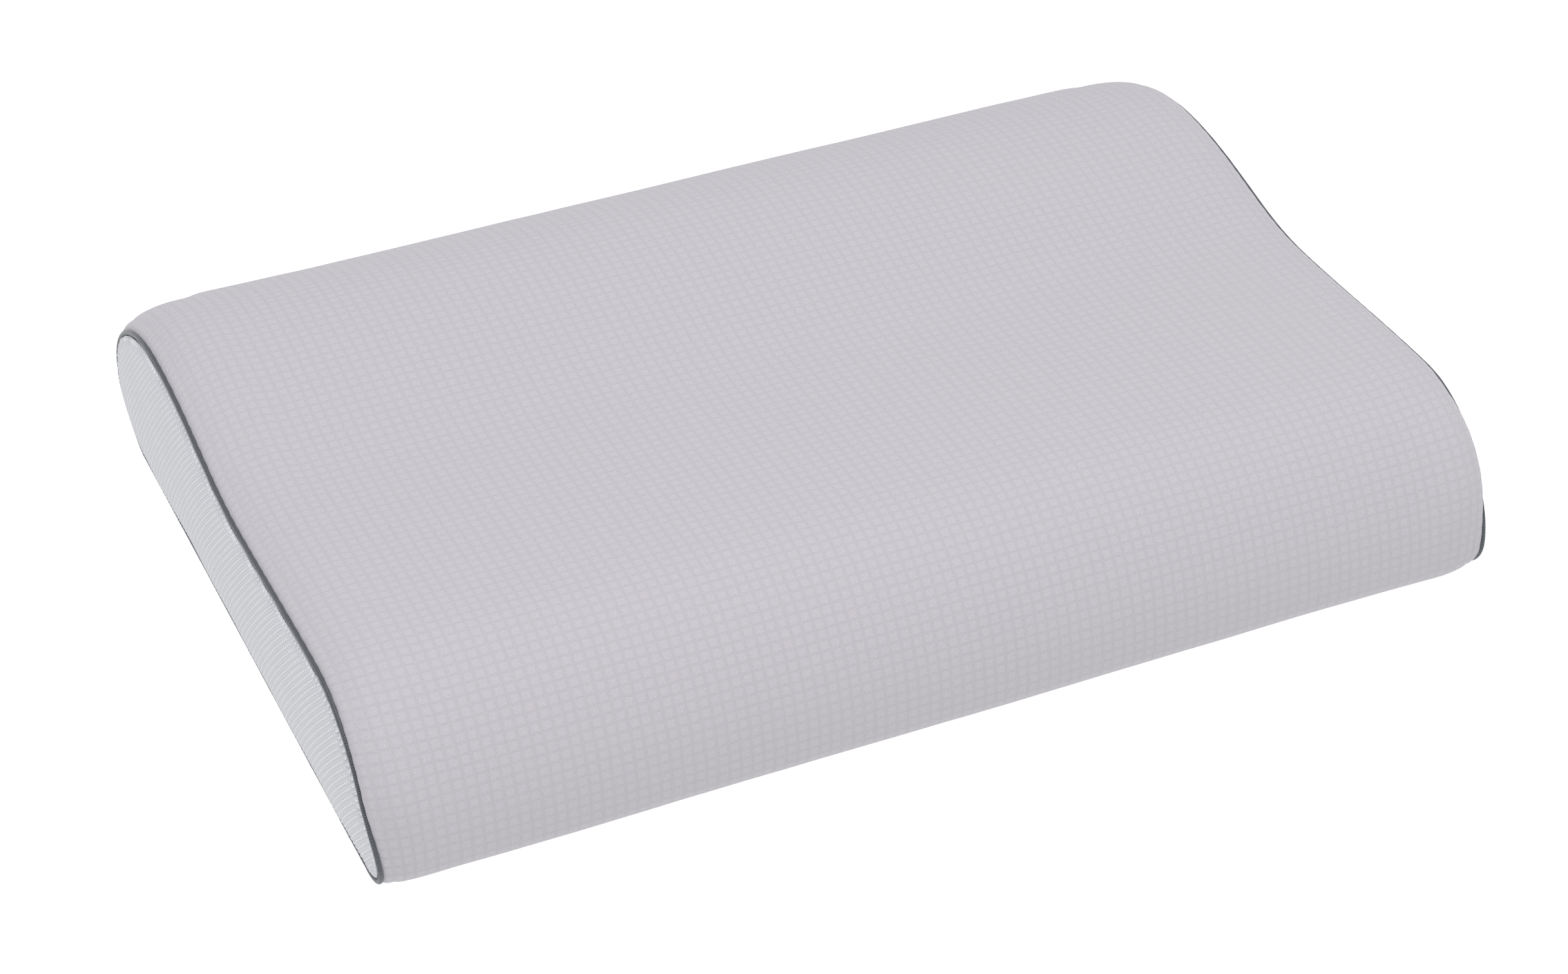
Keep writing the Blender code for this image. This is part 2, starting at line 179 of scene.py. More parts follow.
def new_material(name, **settings):
    """A material with one Principled shader, given its unlinked settings by socket name."""
    finish = bpy.data.materials.new(name)
    finish.use_nodes = True
    shader = finish.node_tree.nodes["Principled BSDF"]
    for socket, value in settings.items():
        shader.inputs[socket.replace("_", " ")].default_value = value
    return finish, shader


def add(finish, kind, links=None, inputs=None, **settings):
    """Adds one node: its settings, the values of its inputs, and links into its inputs."""
    node = finish.node_tree.nodes.new(kind)
    for key, value in settings.items():
        setattr(node, key, value)
    for key, value in (inputs or {}).items():
        node.inputs[key].default_value = value
    for key, source in (links or {}).items():
        finish.node_tree.links.new(source, node.inputs[key])
    return node


def link(finish, source, socket):
    finish.node_tree.links.new(source, socket)


def finished(name, shape, finish, body, stands_for, recalculate=True):
    """A bmesh made into a smooth piece that rides on a body and stands for its CAD nodes."""
    if recalculate:
        bmesh.ops.recalc_face_normals(shape, faces=shape.faces)
    mesh = bpy.data.meshes.new(name)
    shape.to_mesh(mesh)
    shape.free()
    mesh.materials.append(finish)
    mesh.shade_smooth()
    piece = bpy.data.objects.new(name, mesh)
    bpy.context.scene.collection.objects.link(piece)
    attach(piece, body)
    if stands_for:
        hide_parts(*stands_for)
    return piece


CORE_STEP = 0.005
CELL = 0.0011
MERGE = 0.00002

foam_skin, shader = new_material("moulded_memory_foam", Roughness=0.88)
# Pale cream foam skin: even from afar, pricked with fine open cells close by, whose hollows are
# painted darker as painted shade.
place = add(foam_skin, "ShaderNodeTexCoord").outputs["Object"]
cells = add(foam_skin, "ShaderNodeTexVoronoi", {"Vector": place}, {"Scale": 1 / CELL})
tone = add(foam_skin, "ShaderNodeTexNoise", {"Vector": place}, {"Scale": 9.0, "Detail": 4.0})
spots = add(foam_skin, "ShaderNodeMapRange", {"Value": cells.outputs["Distance"]},
            {"From Min": 0.1, "From Max": 0.5})
mixed = add(foam_skin, "ShaderNodeMix", {"Factor": tone.outputs["Fac"]},
            {"A": linear_colour("#F2E9CF"), "B": linear_colour("#E9DDBC")}, data_type="RGBA")
# Painted shade: each open cell's hollow is darker.
cells_painted_shade = add(foam_skin, "ShaderNodeMix", {"Factor": spots.outputs["Result"],
             "B": mixed.outputs["Result"]}, data_type="RGBA")
cells_painted_shade.inputs["A"].default_value = linear_colour("#D9CBA4")
link(foam_skin, cells_painted_shade.outputs["Result"], shader.inputs["Base Color"])
dents = add(foam_skin, "ShaderNodeBump", {"Height": spots.outputs["Result"]},
            {"Distance": 0.0003, "Strength": 0.5})
link(foam_skin, dents.outputs["Normal"], shader.inputs["Normal"])

shape = bmesh.new()
shape.from_mesh(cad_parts["foam_core"].data)
bmesh.ops.remove_doubles(shape, verts=shape.verts, dist=MERGE)
foam_core = finished("moulded_foam_core", shape, foam_skin, "pillow",
                     ["foam_core"])
remesh = foam_core.modifiers.new("even_skin", "REMESH")
remesh.mode = "VOXEL"
remesh.voxel_size = CORE_STEP
remesh.use_smooth_shade = True
rounded = foam_core.modifiers.new("soft_edges", "SMOOTH")
rounded.factor = 0.5
rounded.iterations = 3


# ==== Inner cover ============================================================================
# A thin cotton stockinette sleeve, knitted as a tube and pulled over the foam, that lets the
# outer cover slide on. Its two ends are overlocked and drawn in round the foam's ends.

STOCKINETTE_RIB = 0.0014

stockinette, shader = new_material("cotton_stockinette", Roughness=0.95, Sheen_Weight=0.2)
# Undyed cotton in a plain jersey knit: matte, with fine upright wales, painted darker between
# them as painted shade.
cloth_place = add(stockinette, "ShaderNodeTexCoord").outputs["Object"]
wales = add(stockinette, "ShaderNodeTexWave", {"Vector": cloth_place},
            {"Scale": math.tau / 20 / STOCKINETTE_RIB, "Distortion": 0.6, "Detail": 1.0},
            bands_direction="X")
# Painted shade: darker colour in the hollows between the wales.
wale_painted_shade = add(stockinette, "ShaderNodeMix", {"Factor": wales.outputs["Fac"]},
           {"A": linear_colour("#D6D3CA"), "B": linear_colour("#F0EEE6")}, data_type="RGBA")
link(stockinette, wale_painted_shade.outputs["Result"], shader.inputs["Base Color"])
knit_relief = add(stockinette, "ShaderNodeBump", {"Height": wales.outputs["Fac"]},
                  {"Distance": 0.0002, "Strength": 0.6})
link(stockinette, knit_relief.outputs["Normal"], shader.inputs["Normal"])

shape = bmesh.new()
shape.from_mesh(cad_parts["inner_cover"].data)
bmesh.ops.remove_doubles(shape, verts=shape.verts, dist=MERGE)
liner = finished("stockinette_liner", shape, stockinette, "pillow",
                 ["inner_cover"])
fine_knit = liner.modifiers.new("fine_knit", "SUBSURF")
fine_knit.subdivision_type = "SIMPLE"
fine_knit.levels = fine_knit.render_levels = 1


# ==== Top and bottom panels ==================================================================
# The outer cover's body: a soft ribbed knit with a small puffed check, cut as one panel for the
# top and front and one for the base and back. Every edge is turned in and lockstitched.

ALLOWANCE = 0.008
CLOTH_WALL = 0.0005
HEM_DEPTH = 0.0007
HEM_WIDTH = 0.006
ZIP_SLOT = 0.0080
SHUT_SLOT = 0.0002
SLOT_TAPER = 0.010
CREASE_AT = 0.0095
CREASE_DEPTH = 0.00040
CREASE_WIDTH = 0.0016
CREASE_STRAYS = 0.0012
PLUMP = 0.0006
PLUMP_RISES = (0.0, 0.006)
PLUMP_FADES = (0.013, 0.040)
NOSE_PLUMP = 0.0032
NOSE_AHEAD = (0.150, 0.188)
NOSE_UP = (0.020, 0.055)
PUCKER_PITCH = 0.0092
PUCKER_DEPTH = 0.00026
PUCKER_REACH = 0.007
WAVE_HEIGHT = 0.0008
RIPPLE_HEIGHT = 0.00012
WAVES_FROM_SEAM = 0.03
HEM_TURN = 0.0006
UNDERSIDE_Z = 0.003

RIB = 0.00082
CHECK_WIDTH = 7 * RIB
CHECK_LENGTH = 0.00515
KNIT_LOOP = 0.0007
KNIT_PUFF_LIT = "#B7B4B9"
KNIT_BASE = "#B5B3B7"
KNIT_GROOVE_SHADE = "#9E9BA0"
KNIT_WARM = "#BCB5B6"
KNIT_COOL = "#B2B6B8"

WIDE_STEP = 0.0056
FINE_STEP = 0.0034
FINE_SPAN = 0.060
TURN_STEP = math.radians(3.1)
EDGE_STEP = 0.002

zip_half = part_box("zip_tape_upper")[1].x


check_knit, shader = new_material("jacquard_knit", Roughness=0.88, Sheen_Weight=0.18,
                                  Sheen_Roughness=0.5)
# Polyester jacquard knit: soft matte ribs 0.8 mm apart, with a 6 mm check of puffed squares on
# which the ribs fade. Painted shade darkens the grooves between the ribs, most of all between the
# squares, where it draws darker cross lines, and the squares are painted a touch lighter.
flat_place = add(check_knit, "ShaderNodeUVMap", uv_map="cloth").outputs["UV"]
wander = add(check_knit, "ShaderNodeTexNoise", {"Vector": flat_place}, {"Scale": 60.0})
strayed = add(check_knit, "ShaderNodeVectorMath", {0: wander.outputs["Color"], 2: flat_place},
              {1: (0.0007, 0.0007, 0.0)}, operation="MULTIPLY_ADD")
ribs = add(check_knit, "ShaderNodeTexWave", {"Vector": strayed.outputs[0]},
           {"Scale": math.tau / 20 / RIB, "Distortion": 0.8, "Detail": 1.0, "Detail Scale": 0.5},
           bands_direction="X")
across_check = add(check_knit, "ShaderNodeTexWave", {"Vector": strayed.outputs[0]},
                   {"Scale": math.tau / 20 / CHECK_WIDTH}, bands_direction="X")
along_check = add(check_knit, "ShaderNodeTexWave", {"Vector": strayed.outputs[0]},
                  {"Scale": math.tau / 20 / CHECK_LENGTH}, bands_direction="Y")
puff_across = add(check_knit, "ShaderNodeMapRange", {"Value": across_check.outputs["Fac"]},
                  {"From Min": 0.03, "From Max": 0.42}, interpolation_type="SMOOTHSTEP")
puff_along = add(check_knit, "ShaderNodeMapRange", {"Value": along_check.outputs["Fac"]},
                 {"From Min": 0.03, "From Max": 0.36}, interpolation_type="SMOOTHSTEP")
puff = add(check_knit, "ShaderNodeMath", {0: puff_across.outputs["Result"],
           1: puff_along.outputs["Result"]}, operation="MULTIPLY")
rib_strength = add(check_knit, "ShaderNodeMapRange", {"Value": puff.outputs[0]},
                   {"To Min": 1.0, "To Max": 0.5})
rib_height = add(check_knit, "ShaderNodeMath", {0: ribs.outputs["Fac"],
                 1: rib_strength.outputs["Result"]}, operation="MULTIPLY")
loops = add(check_knit, "ShaderNodeTexNoise", {"Vector": flat_place},
            {"Scale": 1 / KNIT_LOOP, "Detail": 2.0, "Roughness": 0.6})
puffed_ribs = add(check_knit, "ShaderNodeMath", {0: puff.outputs[0], 2: rib_height.outputs[0]},
                  {1: 0.55}, operation="MULTIPLY_ADD")
relief = add(check_knit, "ShaderNodeMath", {0: loops.outputs["Fac"], 2: puffed_ribs.outputs[0]},
             {1: 0.9}, operation="MULTIPLY_ADD")
# Painted shade: the grooves between the ribs are darkened, fully between the puffs, half on them.
groove = add(check_knit, "ShaderNodeMath", {0: ribs.outputs["Fac"]}, {1: -1.0, 2: 1.0},
             operation="MULTIPLY_ADD")
groove_depth = add(check_knit, "ShaderNodeMath", {0: groove.outputs[0],
                   1: rib_strength.outputs["Result"]}, operation="MULTIPLY")
groove_painted_shade = add(check_knit, "ShaderNodeMath", {0: groove_depth.outputs[0]}, {1: 0.30},
                  operation="MULTIPLY")
# Painted light: the raised puffs are a touch lighter than the knit between them.
shade = add(check_knit, "ShaderNodeMix", {"Factor": puff.outputs[0]},
            {"A": linear_colour(KNIT_BASE), "B": linear_colour(KNIT_PUFF_LIT)}, data_type="RGBA")
groove_shaded = add(check_knit, "ShaderNodeMix", {"Factor": groove_painted_shade.outputs[0],
              "A": shade.outputs["Result"]}, data_type="RGBA")
groove_shaded.inputs["B"].default_value = linear_colour(KNIT_GROOVE_SHADE)
yarn_lots = add(check_knit, "ShaderNodeTexNoise", {"Vector": flat_place},
                {"Scale": 320.0, "Detail": 3.0, "Roughness": 0.7})
yarn_hue = add(check_knit, "ShaderNodeMapRange", {"Value": yarn_lots.outputs["Fac"]},
               {"From Min": 0.35, "From Max": 0.65})
hue = add(check_knit, "ShaderNodeMix", {"Factor": yarn_hue.outputs["Result"]},
          {"A": linear_colour(KNIT_COOL), "B": linear_colour(KNIT_WARM)}, data_type="RGBA")
tinted = add(check_knit, "ShaderNodeMix", {"A": groove_shaded.outputs["Result"],
             "B": hue.outputs["Result"]}, {"Factor": 0.22}, data_type="RGBA")
speckle = add(check_knit, "ShaderNodeMapRange", {"Value": loops.outputs["Fac"]},
              {"From Min": 0.3, "From Max": 0.7, "To Min": 0.93, "To Max": 1.06})
toned = add(check_knit, "ShaderNodeMix", {"A": tinted.outputs["Result"],
            "B": speckle.outputs["Result"]}, {"Factor": 1.0}, data_type="RGBA",
            blend_type="MULTIPLY")
link(check_knit, toned.outputs["Result"], shader.inputs["Base Color"])
raised = add(check_knit, "ShaderNodeBump", {"Height": relief.outputs[0]},
             {"Distance": 0.00020, "Strength": 0.65})
link(check_knit, raised.outputs["Normal"], shader.inputs["Normal"])


def evenly(start, end, step):
    """Distances from start to end, no more than step apart."""
    return list(np.linspace(start, end, max(2, math.ceil(abs(end - start) / step) + 1)))


def seam_to_seam():
    """The panel's columns: x, depth, drop, flat distance from the middle, and from the seam."""
    half = [(x, 0.0, 0.0) for x in evenly(0.0, round_x - FINE_SPAN, WIDE_STEP)
            + evenly(round_x - FINE_SPAN, round_x, FINE_STEP)[1:]]
    for turn in evenly(0.0, math.pi / 2, TURN_STEP)[1:]:
        half.append((round_x + END_ROUND * math.sin(turn), 0.0, END_DROP * (1 - math.cos(turn))))
    for depth in evenly(0.0, ALLOWANCE, EDGE_STEP)[1:]:
        half.append((seam_x, depth, END_DROP))
    flat = lengths_along(np.array([(x, depth + drop) for x, depth, drop in half]))
    seam_at = flat[-1] - ALLOWANCE
    right = [(x, depth, drop, run, seam_at - run) for (x, depth, drop), run in zip(half, flat)]
    left = [(-x, depth, drop, -run, off) for x, depth, drop, run, off in right[:0:-1]]
    return left + right


def slot_at(x):
    """The zip's slot closes smoothly past the ends of the tape."""
    return ZIP_SLOT + (SHUT_SLOT - ZIP_SLOT) * soft_step(abs(x), zip_half - SLOT_TAPER, zip_half)


def cloth_lift(x, run, off, to_hem, on_nose):
    """How far the cloth stands off its even shape: seam crease, puckers and soft waves."""
    seam_wander = CREASE_STRAYS * noise.noise(Vector((run * 9, 2.2, x * 3)))
    crease = -CREASE_DEPTH * math.exp(-(((off - CREASE_AT + seam_wander) / CREASE_WIDTH) ** 2))
    plump = (PLUMP + NOSE_PLUMP * on_nose) * soft_step(off, *PLUMP_RISES) \
        * (1 - soft_step(off, *PLUMP_FADES))
    beat = math.tau * run / PUCKER_PITCH + 6.0 * noise.noise(Vector((run * 26, 3.1, x)))
    puckers = -PUCKER_DEPTH * (0.5 + 0.5 * math.sin(beat)) * math.exp(-max(off, 0.0) / PUCKER_REACH)
    waves = WAVE_HEIGHT * noise.noise(Vector((x * 11, run * 11, 4.4))) \
        + RIPPLE_HEIGHT * noise.noise(Vector((x * 45, run * 45, 1.7)))
    turned_in = -HEM_TURN * (1 - soft_step(to_hem, 0.0, HEM_WIDTH))
    return crease + plump + puckers + waves * soft_step(off, 0.0, WAVES_FROM_SEAM) + turned_in


def cover_panel(name, part, rows_step, node):
    """A panel of the cover: a flat grid laid column by column over the pillow's outline."""
    columns = seam_to_seam()
    total = lengths_along(side_outline(0.0, 0.0, ZIP_SLOT)[part])[-1]
    runs = [-HEM_WIDTH] + evenly(0.0, total, rows_step) + [total + HEM_WIDTH]
    across, along = len(columns) - 1, len(runs) - 1
    shape = bmesh.new()
    bmesh.ops.create_grid(shape, x_segments=across, y_segments=along, size=0.5)
    flat_map = shape.loops.layers.uv.new("cloth")
    lanes = []
    for x, depth, drop, *_ in columns:
        lane = side_outline(depth, drop, slot_at(x))[part]
        hem_lane = side_outline(depth + HEM_DEPTH, drop, slot_at(x))[part]
        hems = points_along(hem_lane, [HEM_WIDTH / total, 1 - HEM_WIDTH / total])
        body = points_along(lane, np.array(runs[1:-1]) / total)
        lanes.append([hems[0], *body, hems[1]])
    spots = {vert: (round((vert.co.x + 0.5) * across), round((vert.co.y + 0.5) * along))
             for vert in shape.verts}
    for vert, (column, row) in spots.items():
        y, z = lanes[column][row]
        vert.co = (leaned(columns[column][0], z), y, z)
    shape.normal_update()
    if sum(face.normal.dot(face.calc_center_median()) for face in shape.faces) < 0:
        bmesh.ops.reverse_faces(shape, faces=shape.faces)
        shape.normal_update()
    for face in shape.faces:
        for loop in face.loops:
            column, row = spots[loop.vert]
            loop[flat_map].uv = (columns[column][3], runs[row])
    for vert, (column, row) in spots.items():
        if 0 < row < along:
            run, off = runs[row], columns[column][4]
            on_nose = soft_step(-vert.co.y, *NOSE_AHEAD) * soft_step(vert.co.z, *NOSE_UP)
            lift = cloth_lift(vert.co.x, run, off, min(run, total - run), on_nose)
            raised = vert.co + vert.normal * (lift if vert.co.z > UNDERSIDE_Z else min(lift, 0.0))
            vert.co = (raised.x, raised.y, max(raised.z, 0.0))
    piece = finished(name, shape, check_knit, "pillow", [node],
                     recalculate=False)
    give_wall(piece, CLOTH_WALL)
    return piece


def give_wall(piece, thickness):
    """The cloth's own thickness, on the inner side of its shape."""
    wall = piece.modifiers.new("cloth_wall", "SOLIDIFY")
    wall.thickness = thickness
    wall.offset = -1.0


top_panel = cover_panel("top_panel_knit", part=0, rows_step=0.0025, node="top_panel")
bottom_panel = cover_panel("bottom_panel_knit", part=1, rows_step=0.0040, node="bottom_panel")


# ==== Piping cords ===========================================================================
# A soft cotton cord of three twisted plies in each end seam. It runs right round the end, and
# only fills out the satin strip that is folded over it.

PIPING_RADIUS = 0.0013
PIPING_RISE = 0.0005
CORD_RADIUS = 0.00076
CORD_STEP = 0.0011
CORD_SIDES = 12
PLIES = 3
PLY_DEPTH = 0.14
CORD_LAY = 0.009
CLOSED_SLOT = 0.0004
TANGENT_REACH = 0.3
FINE_MERGE = 0.00001

piping_x = (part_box("piping_cord_right")[0].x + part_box("piping_cord_right")[1].x) / 2


def closed_outline(depth):
    """The whole outline of an end as one loop, closed over the zip's slot."""
    top, bottom = side_outline(depth, END_DROP, CLOSED_SLOT)
    return np.concatenate([top, bottom[1:]])


def frames_along(path, steps):
    """Evenly spaced points on a closed path, and the direction out of it at each."""
    shares = np.arange(steps) / steps
    tangent = points_along(path, (shares + TANGENT_REACH / steps) % 1) \
        - points_along(path, (shares - TANGENT_REACH / steps) % 1)
    tangent /= np.linalg.norm(tangent, axis=1)[:, None]
    outward = np.stack([-tangent[:, 1], tangent[:, 0]], axis=1)
    middle = points_along(path, shares)
    if ((middle - middle.mean(axis=0)) * outward).sum() < 0:
        outward = -outward
    return middle, outward


def swept_ring(name, side, section, step, finish, node, swell):
    """A section of (x, outward) points swept round the end seam and closed on itself."""
    base = closed_outline(-PIPING_RISE)
    total = lengths_along(base)[-1]
    steps = round(total / step)
    middle, outward = frames_along(base, steps)
    around = lengths_along(np.array(section))
    last = len(section) - 1
    shape = bmesh.new()
    bmesh.ops.create_grid(shape, x_segments=last, y_segments=steps, size=0.5)
    flat_map = shape.loops.layers.uv.new("cloth")
    spots = {vert: (round((vert.co.x + 0.5) * last), round((vert.co.y + 0.5) * steps))
             for vert in shape.verts}
    for face in shape.faces:
        for loop in face.loops:
            column, row = spots[loop.vert]
            loop[flat_map].uv = (around[column], row * total / steps)
    for vert, (column, row) in spots.items():
        x, out = section[column]
        row %= steps
        grow = swell(row / steps, column)
        point = middle[row] + outward[row] * out * grow
        vert.co = (leaned(side * (piping_x + x * grow), point[1]), point[0], point[1])
    bmesh.ops.remove_doubles(shape, verts=shape.verts, dist=FINE_MERGE)
    shape.normal_update()
    highest = max(shape.faces, key=lambda face: face.calc_center_median().z)
    if highest.normal.z < 0:
        bmesh.ops.reverse_faces(shape, faces=shape.faces)
    return finished(name, shape, finish, "pillow", [node], recalculate=False)


def circle_section(radius, sides):
    turns = np.linspace(0, math.tau, sides + 1)
    return [(radius * math.cos(turn), radius * math.sin(turn)) for turn in turns]


seam_length = lengths_along(closed_outline(-PIPING_RISE))[-1]
cord_turns = round(seam_length / CORD_LAY)


def twisted(share, column):
    """The plies stand out as a three-lobed section that turns along the cord."""
    angle = math.tau * (column / CORD_SIDES - cord_turns * share)
    return 1 - PLY_DEPTH * (0.5 - 0.5 * math.cos(PLIES * angle))


cotton, shader = new_material("twisted_cotton", Roughness=0.95, Sheen_Weight=0.2)
# Undyed cotton cord: dull and fuzzy, off-white with darker valleys between its plies.
cord_place = add(cotton, "ShaderNodeUVMap", uv_map="cloth").outputs["UV"]
fuzz = add(cotton, "ShaderNodeTexNoise", {"Vector": cord_place}, {"Scale": 1500.0, "Detail": 3.0})
cotton_tone = add(cotton, "ShaderNodeMix", {"Factor": fuzz.outputs["Fac"]},
                  {"A": linear_colour("#C9C4B6"), "B": linear_colour("#EDEAE0")},
                  data_type="RGBA")
link(cotton, cotton_tone.outputs["Result"], shader.inputs["Base Color"])
fibres = add(cotton, "ShaderNodeBump", {"Height": fuzz.outputs["Fac"]},
             {"Distance": 0.0001, "Strength": 0.6})
link(cotton, fibres.outputs["Normal"], shader.inputs["Normal"])

for side_name, side in (("left", -1), ("right", 1)):
    swept_ring(
        f"twisted_cord_{side_name}", side, circle_section(CORD_RADIUS, CORD_SIDES), CORD_STEP,
        cotton, f"piping_cord_{side_name}", twisted)


# ==== Piping strips ==========================================================================
# A bias strip of dark grey satin folded over each cord. Its two flat flanges are sewn into the
# seam between the panels and the gusset, and the strip gathers a little as it bends.

TAPE_WALL = 0.00028
TAPE_SIDES = 20
TAPE_STEP = 0.0006
FLANGE_X = -0.0006
GATHER = 0.0011
FINE_SWELL = 0.045
FINE_SWELLS = 760
LONG_SWELL = 0.04
LONG_SWELLS = 160
SATIN_FOLD_SHADE = "#303439"
SATIN_CREST_SHEEN = "#54585D"

satin, shader = new_material("bias_satin", Roughness=0.40, Sheen_Weight=0.12)
# Dark grey polyester satin cut on the bias: a soft sheen along the cord, with fine gathers.
# The grey is painted darker in each gather's fold and lighter on its crest: painted shade and
# painted sheen.
satin_place = add(satin, "ShaderNodeUVMap", uv_map="cloth").outputs["UV"]
gathers = add(satin, "ShaderNodeTexWave", {"Vector": satin_place},
              {"Scale": math.tau / 20 / GATHER, "Distortion": 4.0, "Detail": 2.0},
              bands_direction="Y")
thread = add(satin, "ShaderNodeTexNoise", {"Vector": satin_place},
             {"Scale": 1300.0, "Detail": 2.0})
# Painted shade and painted sheen: darker satin in the gathers' folds, lighter on their crests.
gather_shade_and_sheen = add(satin, "ShaderNodeMix", {"Factor": gathers.outputs["Fac"]},
          {"A": linear_colour(SATIN_FOLD_SHADE), "B": linear_colour(SATIN_CREST_SHEEN)}, data_type="RGBA")
link(satin, gather_shade_and_sheen.outputs["Result"], shader.inputs["Base Color"])
folds = add(satin, "ShaderNodeMath", {0: thread.outputs["Fac"], 2: gathers.outputs["Fac"]},
            {1: 0.4}, operation="MULTIPLY_ADD")
pleated = add(satin, "ShaderNodeBump", {"Height": folds.outputs[0]},
              {"Distance": 0.00015, "Strength": 0.6})
link(satin, pleated.outputs["Normal"], shader.inputs["Normal"])


def strip_section():
    """The folded strip's section: up the inner flange, round the cord, down the outer one."""
    flange_end = -(ALLOWANCE - PIPING_RISE)
    last_turn = -math.degrees(math.acos(FLANGE_X / PIPING_RADIUS))
    turns = np.radians(np.linspace(180, last_turn, TAPE_SIDES + 1))
    bead = [(PIPING_RADIUS * math.cos(turn), PIPING_RADIUS * math.sin(turn)) for turn in turns]
    inner = [(-PIPING_RADIUS, flange_end), (-PIPING_RADIUS, flange_end / 2)]
    outer = [(FLANGE_X, flange_end / 2), (FLANGE_X, flange_end)]
    return inner + bead + outer


def gathered(share, column):
    """The strip's gathers: small uneven swells along the cord, on the bead only."""
    if not 2 <= column <= TAPE_SIDES + 2:
        return 1.0
    return 1.0 + FINE_SWELL * noise.noise(Vector((share * FINE_SWELLS, 0.3, column * 0.05))) \
        + LONG_SWELL * noise.noise(Vector((share * LONG_SWELLS, 7.7, 0.0)))


for side_name, side in (("left", -1), ("right", 1)):
    strip = swept_ring(f"piping_strip_{side_name}", side, strip_section(), TAPE_STEP, satin,
                       f"piping_tape_{side_name}", gathered)
    give_wall(strip, TAPE_WALL)


# ==== Gussets ================================================================================
# The two end panels: a springy warp-knitted spacer mesh, with small tucked dashes in slanting
# rows. Its edge is turned under and drawn up against the piping, and the foam domes it out.

SPACER_WALL = 0.0008
GRID_LONG = 100
GRID_TALL = 24
PRESSURE = 80.0
CLOTH_MASS = 0.05
STRETCH = 5.0
PUFF_FRAMES = 20
EVENING_PASSES = 12
DOME_EASE = 2.2
FOAM_UNEVEN = 0.0006
RIM_GAP = 0.0001
RIM_OUT = 0.0009
FOLD_OUT = 0.0003
DASH_PITCH = 0.0028
DASH_ROWS = 0.0031
DASH_ANGLE = math.radians(47)
SCALLOP = 0.0033
SCALLOP_HEIGHT = 0.00045
SCALLOP_REACH = 0.0035
SCALLOP_START = 0.0012
SEAM_JUMP = 0.1
GROUND_PITCH = 0.0011
SPACER_PALE = "#D6D7DA"
SPACER_HOLLOW_SHADE = "#BEC0C3"
DASH_WHITE = "#FCFCFD"

rim_depth = PIPING_RADIUS - PIPING_RISE + RIM_GAP
rim_x = piping_x + RIM_OUT
fold_x = piping_x + FLANGE_X + FOLD_OUT
crown_x = cad_box[1].x

spacer, shader = new_material("spacer_mesh_knit", Roughness=0.85, Sheen_Weight=0.15)
# Polyester spacer mesh: pale cool grey, with white dashes 3 mm apart in slanting rows over a
# fine diamond ground, closing up into small scallops along the seam. The ground's hollows are
# painted deeper grey as painted shade, and the scallops are painted lighter and darker in turn,
# as painted light and shade.
mesh_place = add(spacer, "ShaderNodeUVMap", uv_map="cloth").outputs["UV"]
seam_place = add(spacer, "ShaderNodeSeparateXYZ",
                 {0: add(spacer, "ShaderNodeUVMap", uv_map="seam").outputs["UV"]})
slanted = add(spacer, "ShaderNodeMapping", {"Vector": mesh_place},
              {"Rotation": (0.0, 0.0, DASH_ANGLE)})
across_rows = add(spacer, "ShaderNodeTexWave", {"Vector": slanted.outputs["Vector"]},
                  {"Scale": math.tau / 20 / DASH_ROWS, "Distortion": 0.3}, bands_direction="Y")
along_rows = add(spacer, "ShaderNodeTexWave", {"Vector": slanted.outputs["Vector"]},
                 {"Scale": math.tau / 20 / DASH_PITCH, "Distortion": 0.3}, bands_direction="X")
row_mask = add(spacer, "ShaderNodeMapRange", {"Value": across_rows.outputs["Fac"]},
               {"From Min": 0.80, "From Max": 0.96}, interpolation_type="SMOOTHSTEP")
dash_mask = add(spacer, "ShaderNodeMapRange", {"Value": along_rows.outputs["Fac"]},
                {"From Min": 0.45, "From Max": 0.80}, interpolation_type="SMOOTHSTEP")
dashes = add(spacer, "ShaderNodeMath", {0: row_mask.outputs["Result"],
             1: dash_mask.outputs["Result"]}, operation="MULTIPLY")
ground_rise = add(spacer, "ShaderNodeTexWave", {"Vector": mesh_place},
                  {"Scale": math.tau / 20 / GROUND_PITCH, "Distortion": 0.4}, bands_direction="DIAGONAL")
turned_back = add(spacer, "ShaderNodeMapping", {"Vector": mesh_place}, {"Scale": (-1.0, 1.0, 1.0)})
ground_fall = add(spacer, "ShaderNodeTexWave", {"Vector": turned_back.outputs["Vector"]},
                  {"Scale": math.tau / 20 / GROUND_PITCH, "Distortion": 0.4}, bands_direction="DIAGONAL")
ground = add(spacer, "ShaderNodeMath", {0: ground_rise.outputs["Fac"],
             1: ground_fall.outputs["Fac"]}, operation="MULTIPLY")
away = add(spacer, "ShaderNodeMapRange", {"Value": seam_place.outputs["X"]},
           {"From Min": 0.0030, "From Max": 0.0075}, interpolation_type="SMOOTHSTEP")
clear_dashes = add(spacer, "ShaderNodeMath", {0: dashes.outputs[0], 1: away.outputs["Result"]},
                   operation="MULTIPLY")
scallop_wave = add(spacer, "ShaderNodeMath", {0: seam_place.outputs["Y"]},
                   {1: math.tau / SCALLOP}, operation="MULTIPLY")
scallop = add(spacer, "ShaderNodeMath", {0: scallop_wave.outputs[0]}, operation="SINE")
near_seam = add(spacer, "ShaderNodeMapRange", {"Value": seam_place.outputs["X"]},
                {"From Min": 0.0010, "From Max": 0.0050, "To Min": 1.0, "To Max": 0.0})
scallops = add(spacer, "ShaderNodeMath", {0: scallop.outputs[0], 1: near_seam.outputs["Result"]},
               operation="MULTIPLY")
